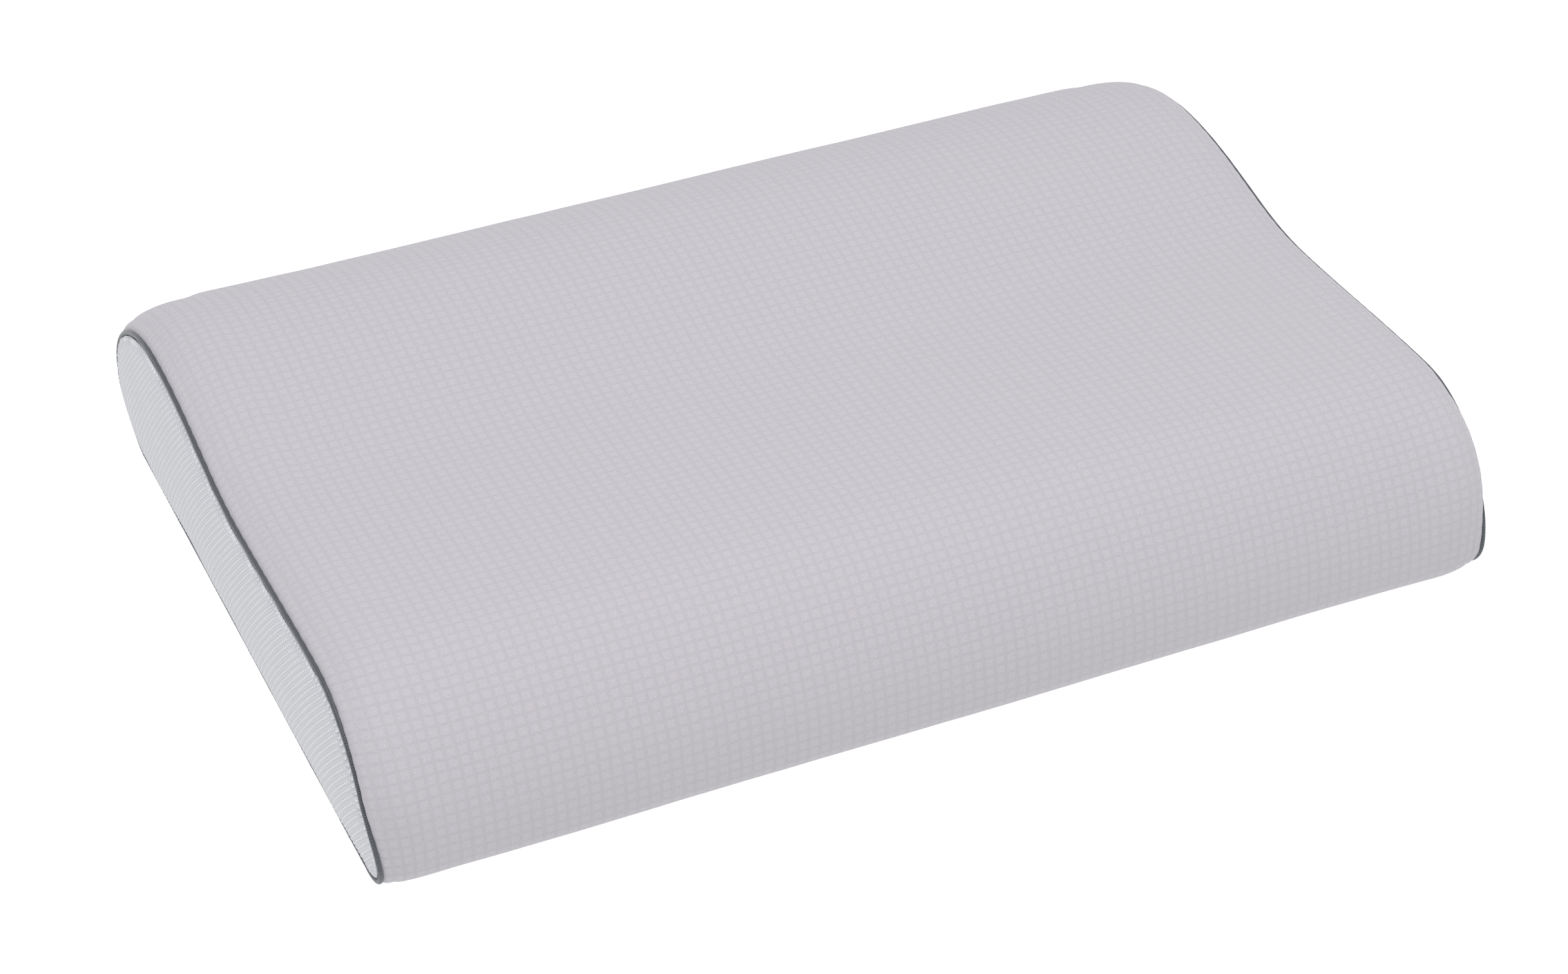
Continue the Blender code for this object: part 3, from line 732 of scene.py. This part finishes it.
# Painted shade: the ground's low parts take the deeper grey.
base = add(spacer, "ShaderNodeMix", {"Factor": ground.outputs[0]},
           {"A": linear_colour(SPACER_HOLLOW_SHADE), "B": linear_colour(SPACER_PALE)}, data_type="RGBA")
dashed = add(spacer, "ShaderNodeMix", {"Factor": clear_dashes.outputs[0],
             "A": base.outputs["Result"]}, data_type="RGBA")
dashed.inputs["B"].default_value = linear_colour(DASH_WHITE)
# Painted light and shade: each scallop by the seam is lightened and darkened in turn.
scallop_light_and_shade = add(spacer, "ShaderNodeMapRange", {"Value": scallops.outputs[0]},
                   {"From Min": -1.0, "From Max": 1.0, "To Min": 0.80, "To Max": 1.16})
spacer_tone = add(spacer, "ShaderNodeMix", {"A": dashed.outputs["Result"],
                  "B": scallop_light_and_shade.outputs["Result"]}, {"Factor": 1.0}, data_type="RGBA",
                  blend_type="MULTIPLY")
link(spacer, spacer_tone.outputs["Result"], shader.inputs["Base Color"])
tucks = add(spacer, "ShaderNodeMath", {0: clear_dashes.outputs[0], 2: ground.outputs[0]},
            {1: 1.6}, operation="MULTIPLY_ADD")
tucked = add(spacer, "ShaderNodeBump", {"Height": tucks.outputs[0]},
             {"Distance": 0.00022, "Strength": 0.7})
link(spacer, tucked.outputs["Normal"], shader.inputs["Normal"])


def end_patch(side):
    """A flat grid stretched to fill the end's rim, in the plane of the seam."""
    loop = closed_outline(rim_depth)[:-1]
    corners = [int(np.argmax(loop @ np.array(way))) for way in ((-1, -1), (-1, 1), (1, 1), (1, -1))]
    loop = np.roll(loop, -corners[0], axis=0)
    cuts = [(corner - corners[0]) % len(loop) for corner in corners[1:]]
    loop = np.vstack([loop, loop[:1]])
    front, over, behind, under = (loop[a:b + 1] for a, b in
                                  zip([0, *cuts], [*cuts, len(loop) - 1]))
    wide, tall = np.arange(GRID_LONG + 1) / GRID_LONG, np.arange(GRID_TALL + 1) / GRID_TALL
    low, high = points_along(under[::-1], wide), points_along(over, wide)
    near, far = points_along(front, tall), points_along(behind[::-1], tall)
    shape = bmesh.new()
    bmesh.ops.create_grid(shape, x_segments=GRID_LONG, y_segments=GRID_TALL, size=0.5)
    for vert in shape.verts:
        i, j = round((vert.co.x + 0.5) * GRID_LONG), round((vert.co.y + 0.5) * GRID_TALL)
        u, v = i / GRID_LONG, j / GRID_TALL
        even = (1 - u) * ((1 - v) * low[0] + v * high[0]) + u * ((1 - v) * low[-1] + v * high[-1])
        spot = (1 - v) * low[i] + v * high[i] + (1 - u) * near[j] + u * far[j] - even
        vert.co = (side * rim_x, *spot)
    inner = [vert for vert in shape.verts if not vert.is_boundary]
    for _ in range(EVENING_PASSES):
        bmesh.ops.smooth_vert(shape, verts=inner, factor=0.5, use_axis_y=True, use_axis_z=True)
    shape.normal_update()
    if sum(face.normal.x for face in shape.faces) * side < 0:
        bmesh.ops.reverse_faces(shape, faces=shape.faces)
    return shape


def inflated(piece):
    """Puffs the pinned cloth out under air pressure, and keeps the simulated shape."""
    sewn = piece.vertex_groups.new(name="sewn")
    shape = bmesh.new()
    shape.from_mesh(piece.data)
    sewn.add([vert.index for vert in shape.verts if vert.is_boundary], 1.0, "REPLACE")
    shape.free()
    cloth = piece.modifiers.new("cloth", "CLOTH").settings
    cloth.vertex_group_mass = "sewn"
    cloth.use_pressure = True
    cloth.uniform_pressure_force = PRESSURE
    cloth.effector_weights.gravity = 0.0
    cloth.quality = 6
    cloth.mass = CLOTH_MASS
    cloth.tension_stiffness = cloth.compression_stiffness = STRETCH
    for frame_number in range(1, PUFF_FRAMES + 1):
        bpy.context.scene.frame_set(frame_number)
    keep_result(piece)
    piece.vertex_groups.clear()
    bpy.context.scene.frame_set(1)


def keep_result(piece):
    """Takes what a piece's modifiers make as its own mesh, and removes them."""
    made = bpy.data.meshes.new_from_object(
        piece.evaluated_get(bpy.context.evaluated_depsgraph_get()))
    piece.modifiers.clear()
    piece.data = made


def nearest_on_seam(points):
    """For each (y, z) point, how far it is from the seam and how far round the seam it lies."""
    loop = closed_outline(rim_depth)
    runs = lengths_along(loop)
    found = []
    for point in points:
        gaps = np.hypot(loop[:, 0] - point[0], loop[:, 1] - point[1])
        index = int(np.argmin(gaps))
        found.append((gaps[index], runs[index]))
    return found


gussets = {}
for side_name, side in (("left", -1), ("right", 1)):
    gusset = finished(f"gusset_mesh_{side_name}", end_patch(side), spacer, "pillow",
                      [f"gusset_{side_name}"], recalculate=False)
    inflated(gusset)
    finer = gusset.modifiers.new("finer", "SUBSURF")
    finer.levels = finer.render_levels = 2
    keep_result(gusset)
    shape = bmesh.new()
    shape.from_mesh(gusset.data)
    height = crown_x - rim_x
    flat = [(vert.co.y, vert.co.z) for vert in shape.verts]
    seamed = nearest_on_seam(flat)
    for vert, (from_seam, run) in zip(shape.verts, seamed):
        puffed = max(side * vert.co.x - rim_x, 0.0)
        dome = height * (1 - math.exp(-DOME_EASE * puffed / height))
        fade = math.exp(-from_seam / SCALLOP_REACH) * soft_step(from_seam, 0.0, SCALLOP_START)
        dome += SCALLOP_HEIGHT * fade * math.sin(math.tau * run / SCALLOP)
        dome += FOAM_UNEVEN * noise.noise(Vector((vert.co.y * 18, vert.co.z * 18, side))) \
            * soft_step(from_seam, 0.002, 0.015)
        vert.co.x = leaned(side * (rim_x + dome), vert.co.z)
    mesh_map = shape.loops.layers.uv.new("cloth")
    seam_map = shape.loops.layers.uv.new("seam")
    for face in shape.faces:
        turns = [seamed[loop.vert.index][1] for loop in face.loops]
        for loop in face.loops:
            from_seam, run = seamed[loop.vert.index]
            loop[mesh_map].uv = flat[loop.vert.index]
            loop[seam_map].uv = (from_seam, run if max(turns) - min(turns) < SEAM_JUMP else max(turns))
    rim_edges = [edge for edge in shape.edges if edge.is_boundary]
    hem = bmesh.ops.extrude_edge_only(shape, edges=rim_edges)["geom"]
    hem_verts = [item for item in hem if isinstance(item, bmesh.types.BMVert)]
    lane_in = closed_outline(ALLOWANCE)
    lane_rim = closed_outline(rim_depth)
    for vert in hem_verts:
        nearest = int(np.argmin(np.hypot(*(lane_rim - (vert.co.y, vert.co.z)).T)))
        vert.co = (leaned(side * fold_x, lane_in[nearest][1]), *lane_in[nearest])
    gusset.data.clear_geometry()
    shape.to_mesh(gusset.data)
    shape.free()
    gusset.data.shade_smooth()
    give_wall(gusset, SPACER_WALL)
    gussets[side_name] = gusset


# ==== Gusset stitching =======================================================================
# White polyester thread that overlocks each gusset's turned edge: short loops over the edge
# beside the piping, one every 3.3 mm.

LOOP_SIZE = (0.00030, 0.00105, 0.00042)
LOOP_DEPTH = 0.0019
LOOP_LEAN = 0.45
OUTSIDE = 0.5

thread_white, shader = new_material("spun_polyester_thread", Roughness=0.7, Sheen_Weight=0.1)
# Spun polyester sewing thread: white, a little lustrous, with a finely uneven surface.
thread_place = add(thread_white, "ShaderNodeTexCoord").outputs["Object"]
twist = add(thread_white, "ShaderNodeTexNoise", {"Vector": thread_place},
            {"Scale": 2500.0, "Detail": 2.0})
thread_tone = add(thread_white, "ShaderNodeMix", {"Factor": twist.outputs["Fac"]},
                  {"A": linear_colour("#D9DBDE"), "B": linear_colour("#F8F9FA")},
                  data_type="RGBA")
link(thread_white, thread_tone.outputs["Result"], shader.inputs["Base Color"])
twisted_thread = add(thread_white, "ShaderNodeBump", {"Height": twist.outputs["Fac"]},
                     {"Distance": 0.0001, "Strength": 0.5})
link(thread_white, twisted_thread.outputs["Normal"], shader.inputs["Normal"])


def add_stitch(shape, centre, axes, size):
    """One stitch: a small rounded grain of thread, along three axes with a half size each."""
    made = bmesh.ops.create_icosphere(shape, subdivisions=1, radius=1.0)["verts"]
    turn = Matrix([Vector(axis) * length for axis, length in zip(axes, size)]).transposed()
    for vert in made:
        vert.co = Vector(centre) + turn @ vert.co


for side_name, side in (("left", -1), ("right", 1)):
    surface = BVHTree.FromObject(gussets[side_name], bpy.context.evaluated_depsgraph_get())
    seam_path = closed_outline(rim_depth + LOOP_DEPTH)
    count = round(lengths_along(closed_outline(rim_depth))[-1] / SCALLOP)
    middle, outward = frames_along(seam_path, count)
    shape = bmesh.new()
    for point, out in zip(middle, outward):
        hit = surface.ray_cast(Vector((side * OUTSIDE, *point)), Vector((-side, 0, 0)))[0]
        lean = Vector((side * LOOP_LEAN, *out * -1.0)).normalized()
        along = Vector((0, -out[1], out[0]))
        add_stitch(shape, hit, (lean.cross(along), lean, along), LOOP_SIZE)
    finished(f"gusset_stitching_{side_name}", shape, thread_white, "pillow", [])


# ==== Care label =============================================================================
# A blank white satin ribbon, folded into the seam below the zip and lying flat inside the
# cover. It is woven with a firm edge on both sides.

LABEL_WALL = 0.00025
LABEL_INSET = 0.0016
LABEL_ABOVE = 0.0005
LABEL_STEP = 0.002
LABEL_ROWS = 24
WEFT = 0.0005

label_low, label_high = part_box("care_label")

ribbon, shader = new_material("label_satin_ribbon", Roughness=0.45, Sheen_Weight=0.1)
# Polyester satin ribbon: bright white, with a fine crosswise weave, painted a touch darker
# between its weft lines as painted shade.
ribbon_place = add(ribbon, "ShaderNodeTexCoord").outputs["Object"]
weft = add(ribbon, "ShaderNodeTexWave", {"Vector": ribbon_place},
           {"Scale": math.tau / 20 / WEFT, "Distortion": 0.4}, bands_direction="Z")
# Painted shade: the weave's grooves are a touch darker.
weft_painted_shade = add(ribbon, "ShaderNodeMix", {"Factor": weft.outputs["Fac"]},
                  {"A": linear_colour("#E2E3E5"), "B": linear_colour("#F6F7F8")},
                  data_type="RGBA")
link(ribbon, weft_painted_shade.outputs["Result"], shader.inputs["Base Color"])
ribbed = add(ribbon, "ShaderNodeBump", {"Height": weft.outputs["Fac"]},
             {"Distance": 0.0001, "Strength": 0.4})
link(ribbon, ribbed.outputs["Normal"], shader.inputs["Normal"])


def strip_on_back(path, low_x, high_x, x_step, rows, finish, name, body, node):
    """A flat strip of cloth along X, laid on a path in the YZ plane at the pillow's back."""
    columns = math.ceil((high_x - low_x) / x_step)
    points = points_along(np.array(path), np.arange(rows + 1) / rows)
    shape = bmesh.new()
    bmesh.ops.create_grid(shape, x_segments=columns, y_segments=rows, size=0.5)
    flat_map = shape.loops.layers.uv.new("cloth")
    for vert in shape.verts:
        share, row = vert.co.x + 0.5, round((vert.co.y + 0.5) * rows)
        vert.co = (low_x + share * (high_x - low_x), *points[row])
    for face in shape.faces:
        for loop in face.loops:
            loop[flat_map].uv = (loop.vert.co.x, loop.vert.co.z)
    shape.normal_update()
    if sum(face.normal.y for face in shape.faces) < 0:
        bmesh.ops.reverse_faces(shape, faces=shape.faces)
    return finished(name, shape, finish, body, [node], recalculate=False)


back_lane = side_outline(LABEL_INSET, 0.0, ZIP_SLOT)[1]
label_lane = [point for point in back_lane if label_low.z + LABEL_ABOVE < point[1] < label_high.z]
label = strip_on_back(label_lane, label_low.x, label_high.x, LABEL_STEP, LABEL_ROWS, ribbon,
                      "blank_care_label", "pillow", "care_label")
give_wall(label, LABEL_WALL)


# ==== Zip tapes and stitching ================================================================
# Two woven polyester tapes, each lockstitched behind the turned edge of a panel. The coils are
# sewn to their facing edges.

TAPE_INSET = 0.0015
TAPE_HIDDEN = 0.0074
TAPE_THICK = 0.0005
TWILL = 0.0009
MIDDLE_GAP = 0.0006
STITCH_PITCH = 0.0032
STITCH_SIZE = (0.0012, 0.00028, 0.00028)
STITCH_FROM_EDGE = 0.0034
STITCH_END = 0.004
TAPE_SPAN = 0.004
TAPE_ROWS = 8

woven, shader = new_material("woven_zip_tape", Roughness=0.82)
# Woven polyester tape: pale grey and matte, with a fine herringbone twill whose grooves are
# painted darker as painted shade.
tape_place = add(woven, "ShaderNodeUVMap", uv_map="cloth").outputs["UV"]
twill = add(woven, "ShaderNodeTexWave", {"Vector": tape_place},
            {"Scale": math.tau / 20 / TWILL, "Distortion": 0.3}, bands_direction="DIAGONAL")
# Painted shade: the twill's grooves are darker.
twill_painted_shade = add(woven, "ShaderNodeMix", {"Factor": twill.outputs["Fac"]},
                {"A": linear_colour("#B3B2B8"), "B": linear_colour("#CBCAD0")}, data_type="RGBA")
link(woven, twill_painted_shade.outputs["Result"], shader.inputs["Base Color"])
twilled = add(woven, "ShaderNodeBump", {"Height": twill.outputs["Fac"]},
              {"Distance": 0.0001, "Strength": 0.6})
link(woven, twilled.outputs["Normal"], shader.inputs["Normal"])

top_lane, bottom_lane = side_outline(TAPE_INSET, 0.0, ZIP_SLOT)
for half, lane, sign in (("upper", top_lane[::-1], 1), ("lower", bottom_lane, -1)):
    behind = points_along(lane, np.array([0.0, 0.5, 1.0]) * TAPE_HIDDEN / lengths_along(lane)[-1])
    route = [(lane[0][0], zip_z + sign * MIDDLE_GAP), *behind]
    tape = strip_on_back(route, -zip_half, zip_half, TAPE_SPAN, TAPE_ROWS, woven,
                         f"zip_tape_weave_{half}", "pillow", f"zip_tape_{half}")
    give_wall(tape, TAPE_THICK)

shape = bmesh.new()
for panel, lane in ((top_panel, side_outline(0.0, 0.0, ZIP_SLOT)[0][::-1]),
                    (bottom_panel, side_outline(0.0, 0.0, ZIP_SLOT)[1])):
    surface = BVHTree.FromObject(panel, bpy.context.evaluated_depsgraph_get())
    row_z = points_along(lane, [STITCH_FROM_EDGE / lengths_along(lane)[-1]])[0][1]
    for x in evenly(-zip_half + STITCH_END, zip_half - STITCH_END, STITCH_PITCH):
        hit = surface.ray_cast(Vector((x, OUTSIDE, row_z)), Vector((0, -1, 0)))[0]
        add_stitch(shape, hit, ((1, 0, 0), (0, 1, 0), (0, 0, 1)), STITCH_SIZE)
finished("zip_lockstitching", shape, thread_white, "pillow", [])


# ==== Zip coils ==============================================================================
# Nylon monofilament wound into two long flattened coils, sewn to the facing edges of the tapes.
# They are drawn a little apart, which leaves the slider's wedge room over its whole travel.

WIRE_RADIUS = 0.00024
COIL_PITCH = 0.0012
TURN_STEPS = 8
WIRE_SIDES = 5
BLOCK_TURNS = 25

nylon, shader = new_material("nylon_monofilament", Roughness=0.38, IOR=1.53)
# Heat-set nylon wire: pale grey, with a waxy gloss on every turn.
nylon_place = add(nylon, "ShaderNodeTexCoord").outputs["Object"]
cloudy = add(nylon, "ShaderNodeTexNoise", {"Vector": nylon_place}, {"Scale": 260.0})
nylon_tone = add(nylon, "ShaderNodeMix", {"Factor": cloudy.outputs["Fac"]},
                 {"A": linear_colour("#BDBCC2"), "B": linear_colour("#D2D1D6")}, data_type="RGBA")
link(nylon, nylon_tone.outputs["Result"], shader.inputs["Base Color"])
drawn = add(nylon, "ShaderNodeBump", {"Height": cloudy.outputs["Fac"]},
            {"Distance": 0.00005, "Strength": 0.3})
link(nylon, drawn.outputs["Normal"], shader.inputs["Normal"])


def wound_block(width):
    """A few turns of round wire about the X axis, open at both ends."""
    shape = bmesh.new()
    wire = bmesh.ops.create_circle(shape, segments=WIRE_SIDES, radius=WIRE_RADIUS)["verts"]
    bmesh.ops.rotate(shape, verts=wire, cent=(0, 0, 0),
                     matrix=Matrix.Rotation(math.pi / 2, 3, "X"))
    bmesh.ops.translate(shape, verts=wire, vec=(0, 0, width - WIRE_RADIUS))
    bmesh.ops.spin(shape, geom=shape.verts[:] + shape.edges[:], cent=(0, 0, 0), axis=(1, 0, 0),
                   dvec=(COIL_PITCH / TURN_STEPS, 0, 0), angle=math.tau * BLOCK_TURNS,
                   steps=BLOCK_TURNS * TURN_STEPS)
    block = bpy.data.meshes.new("coil_block")
    shape.to_mesh(block)
    shape.free()
    return block


for half in ("upper", "lower"):
    coil_low, coil_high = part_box(f"zip_coil_{half}")
    centre = (coil_low + coil_high) / 2
    thick, wide = ((coil_high - coil_low) / 2).yz
    block = wound_block(wide)
    block_length = BLOCK_TURNS * COIL_PITCH
    blocks = int((coil_high.x - coil_low.x) / block_length)
    squeeze = (thick - WIRE_RADIUS) / (wide - WIRE_RADIUS)
    shape = bmesh.new()
    for index in range(blocks):
        before = len(shape.verts)
        shape.from_mesh(block)
        shape.verts.ensure_lookup_table()
        for vert in shape.verts[before:]:
            x = centre.x + vert.co.x + (index - blocks / 2) * block_length
            vert.co = (x, centre.y + vert.co.y * squeeze, centre.z + vert.co.z)
    bpy.data.meshes.remove(block)
    bmesh.ops.remove_doubles(shape, verts=shape.verts, dist=FINE_MERGE)
    open_edges = [edge for edge in shape.edges if edge.is_boundary]
    bmesh.ops.holes_fill(shape, edges=open_edges, sides=WIRE_SIDES)
    finished(f"zip_coil_wire_{half}", shape, nylon, "pillow", [f"zip_coil_{half}"])


# ==== Zip stops, slider and pull =============================================================
# Die-cast zinc alloy, tumbled and nickel plated. The stops are pinched on at both ends of the
# coils, and the pull turns on the slider's bridge.

EDGE_ROUND = 0.00018
REAR_TAPER = 0.30
NOSE_LENGTH = 0.003
FLAT_WITHIN = math.radians(4)
SHARP_FROM = math.radians(30)

nickel, shader = new_material("nickel_plated_zinc", Metallic=1.0, Roughness=0.3)
# Bright nickel over zinc: a warm silver shine, a little cloudy and faintly uneven from tumbling.
metal_place = add(nickel, "ShaderNodeTexCoord").outputs["Object"]
cloud = add(nickel, "ShaderNodeTexNoise", {"Vector": metal_place}, {"Scale": 420.0, "Detail": 4.0})
plating = add(nickel, "ShaderNodeMix", {"Factor": cloud.outputs["Fac"]},
              {"A": linear_colour("#B9B7B3"), "B": linear_colour("#D8D6D2")}, data_type="RGBA")
link(nickel, plating.outputs["Result"], shader.inputs["Base Color"])
dulled = add(nickel, "ShaderNodeMapRange", {"Value": cloud.outputs["Fac"]},
             {"To Min": 0.22, "To Max": 0.42})
link(nickel, dulled.outputs["Result"], shader.inputs["Roughness"])
tumbled = add(nickel, "ShaderNodeBump", {"Height": cloud.outputs["Fac"]},
              {"Distance": 0.00005, "Strength": 0.25})
link(nickel, tumbled.outputs["Normal"], shader.inputs["Normal"])


def cast_part(node):
    """A CAD node's mesh as a clean solid whose edges are rounded, as a tumbled casting's are."""
    shape = bmesh.new()
    shape.from_mesh(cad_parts[node].data)
    bmesh.ops.remove_doubles(shape, verts=shape.verts, dist=FINE_MERGE)
    bmesh.ops.dissolve_limit(shape, angle_limit=FLAT_WITHIN, verts=shape.verts,
                             edges=shape.edges)
    sharp = [edge for edge in shape.edges
             if edge.is_manifold and edge.calc_face_angle() > SHARP_FROM]
    bmesh.ops.bevel(shape, geom=sharp, offset=EDGE_ROUND, segments=2, affect="EDGES",
                    profile=0.5, material=-1, clamp_overlap=True)
    return shape


for end in ("top", "bottom"):
    finished(f"zip_{end}_stop_clip", cast_part(f"zip_{end}_stop"), nickel, "pillow",
             [f"zip_{end}_stop"])

slider_low, slider_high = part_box("zip_slider")
shape = cast_part("zip_slider")
for vert in shape.verts:
    to_rear = soft_step(slider_high.x - vert.co.x, NOSE_LENGTH, slider_high.x - slider_low.x)
    vert.co.z = zip_z + (vert.co.z - zip_z) * (1 - REAR_TAPER * to_rear)
finished("zip_slider_casting", shape, nickel, "slider", ["zip_slider"])

finished("zip_pull_tab", cast_part("zip_pull"), nickel, "pull", ["zip_pull"])


# ==== Studio =================================================================================
# A pale floor that glows of itself, so that hardly any shadow falls on it, under an even soft
# sky, with one wide soft box above the front.

FLOOR_HALF = 6.0
FLOOR_BELOW = 0.0004
FLOOR_GLOW = 0.93
SKY_STRENGTH = 0.70
BOX_SIZE = 2.0
BOX_POWER = 50
BOX_PLACE = Vector((-0.1, -0.6, 2.6))

floor_paint, shader = new_material("pale_floor", Roughness=0.9)
floor_paint_tone = add(floor_paint, "ShaderNodeTexNoise", None, {"Scale": 3.0})
floor_colour = add(floor_paint, "ShaderNodeMix", {"Factor": floor_paint_tone.outputs["Fac"]},
                   {"A": linear_colour("#8A8A8B"), "B": linear_colour("#8E8E8E")},
                   data_type="RGBA")
link(floor_paint, floor_colour.outputs["Result"], shader.inputs["Base Color"])
shader.inputs["Emission Color"].default_value = linear_colour("#FFFFFF")
shader.inputs["Emission Strength"].default_value = FLOOR_GLOW
shape = bmesh.new()
bmesh.ops.create_grid(shape, x_segments=1, y_segments=1, size=FLOOR_HALF)
bmesh.ops.translate(shape, verts=shape.verts, vec=(0, 0, cad_box[0].z - FLOOR_BELOW))
mesh = bpy.data.meshes.new("floor")
shape.to_mesh(mesh)
shape.free()
mesh.materials.append(floor_paint)
floor = bpy.data.objects.new("floor", mesh)
bpy.context.scene.collection.objects.link(floor)

sky = bpy.data.worlds.new("soft_sky")
sky.use_nodes = True
sky.node_tree.nodes["Background"].inputs["Color"].default_value = linear_colour("#FBFAFF")
sky.node_tree.nodes["Background"].inputs["Strength"].default_value = SKY_STRENGTH
bpy.context.scene.world = sky

soft_box = bpy.data.lights.new("key_box", "AREA")
soft_box.shape = "SQUARE"
soft_box.size = BOX_SIZE
soft_box.energy = BOX_POWER
lamp = bpy.data.objects.new("key_box", soft_box)
lamp.location = BOX_PLACE
lamp.rotation_euler = (-BOX_PLACE).to_track_quat("-Z", "Y").to_euler()
bpy.context.scene.collection.objects.link(lamp)

bpy.context.scene.view_settings.view_transform = "Standard"


# ==== Camera =================================================================================
# A long lens from the front, left and above, so that the top, the front and one end show.

AZIMUTH = math.radians(-24.45)
ELEVATION = math.radians(36.26)
DISTANCE = 1.881
SENSOR = 36.0
LENS = 84.9
AIM = Vector((0.0, -0.0018, 0.049))
AIM_RIGHT = -0.0005
AIM_UP = -0.0326

back = Vector((math.sin(AZIMUTH) * math.cos(ELEVATION), -math.cos(AZIMUTH) * math.cos(ELEVATION),
               math.sin(ELEVATION)))
right = Vector((math.cos(AZIMUTH), math.sin(AZIMUTH), 0))
up = back.cross(right)
lens = bpy.data.cameras.new("camera")
lens.sensor_width = SENSOR
lens.lens = LENS
lens.clip_end = 50
camera = bpy.data.objects.new("camera", lens)
camera.matrix_world = Matrix.Translation(AIM + back * DISTANCE + right * AIM_RIGHT + up * AIM_UP) \
    @ Matrix((right, up, back)).transposed().to_4x4()
bpy.context.scene.collection.objects.link(camera)
bpy.context.scene.camera = camera
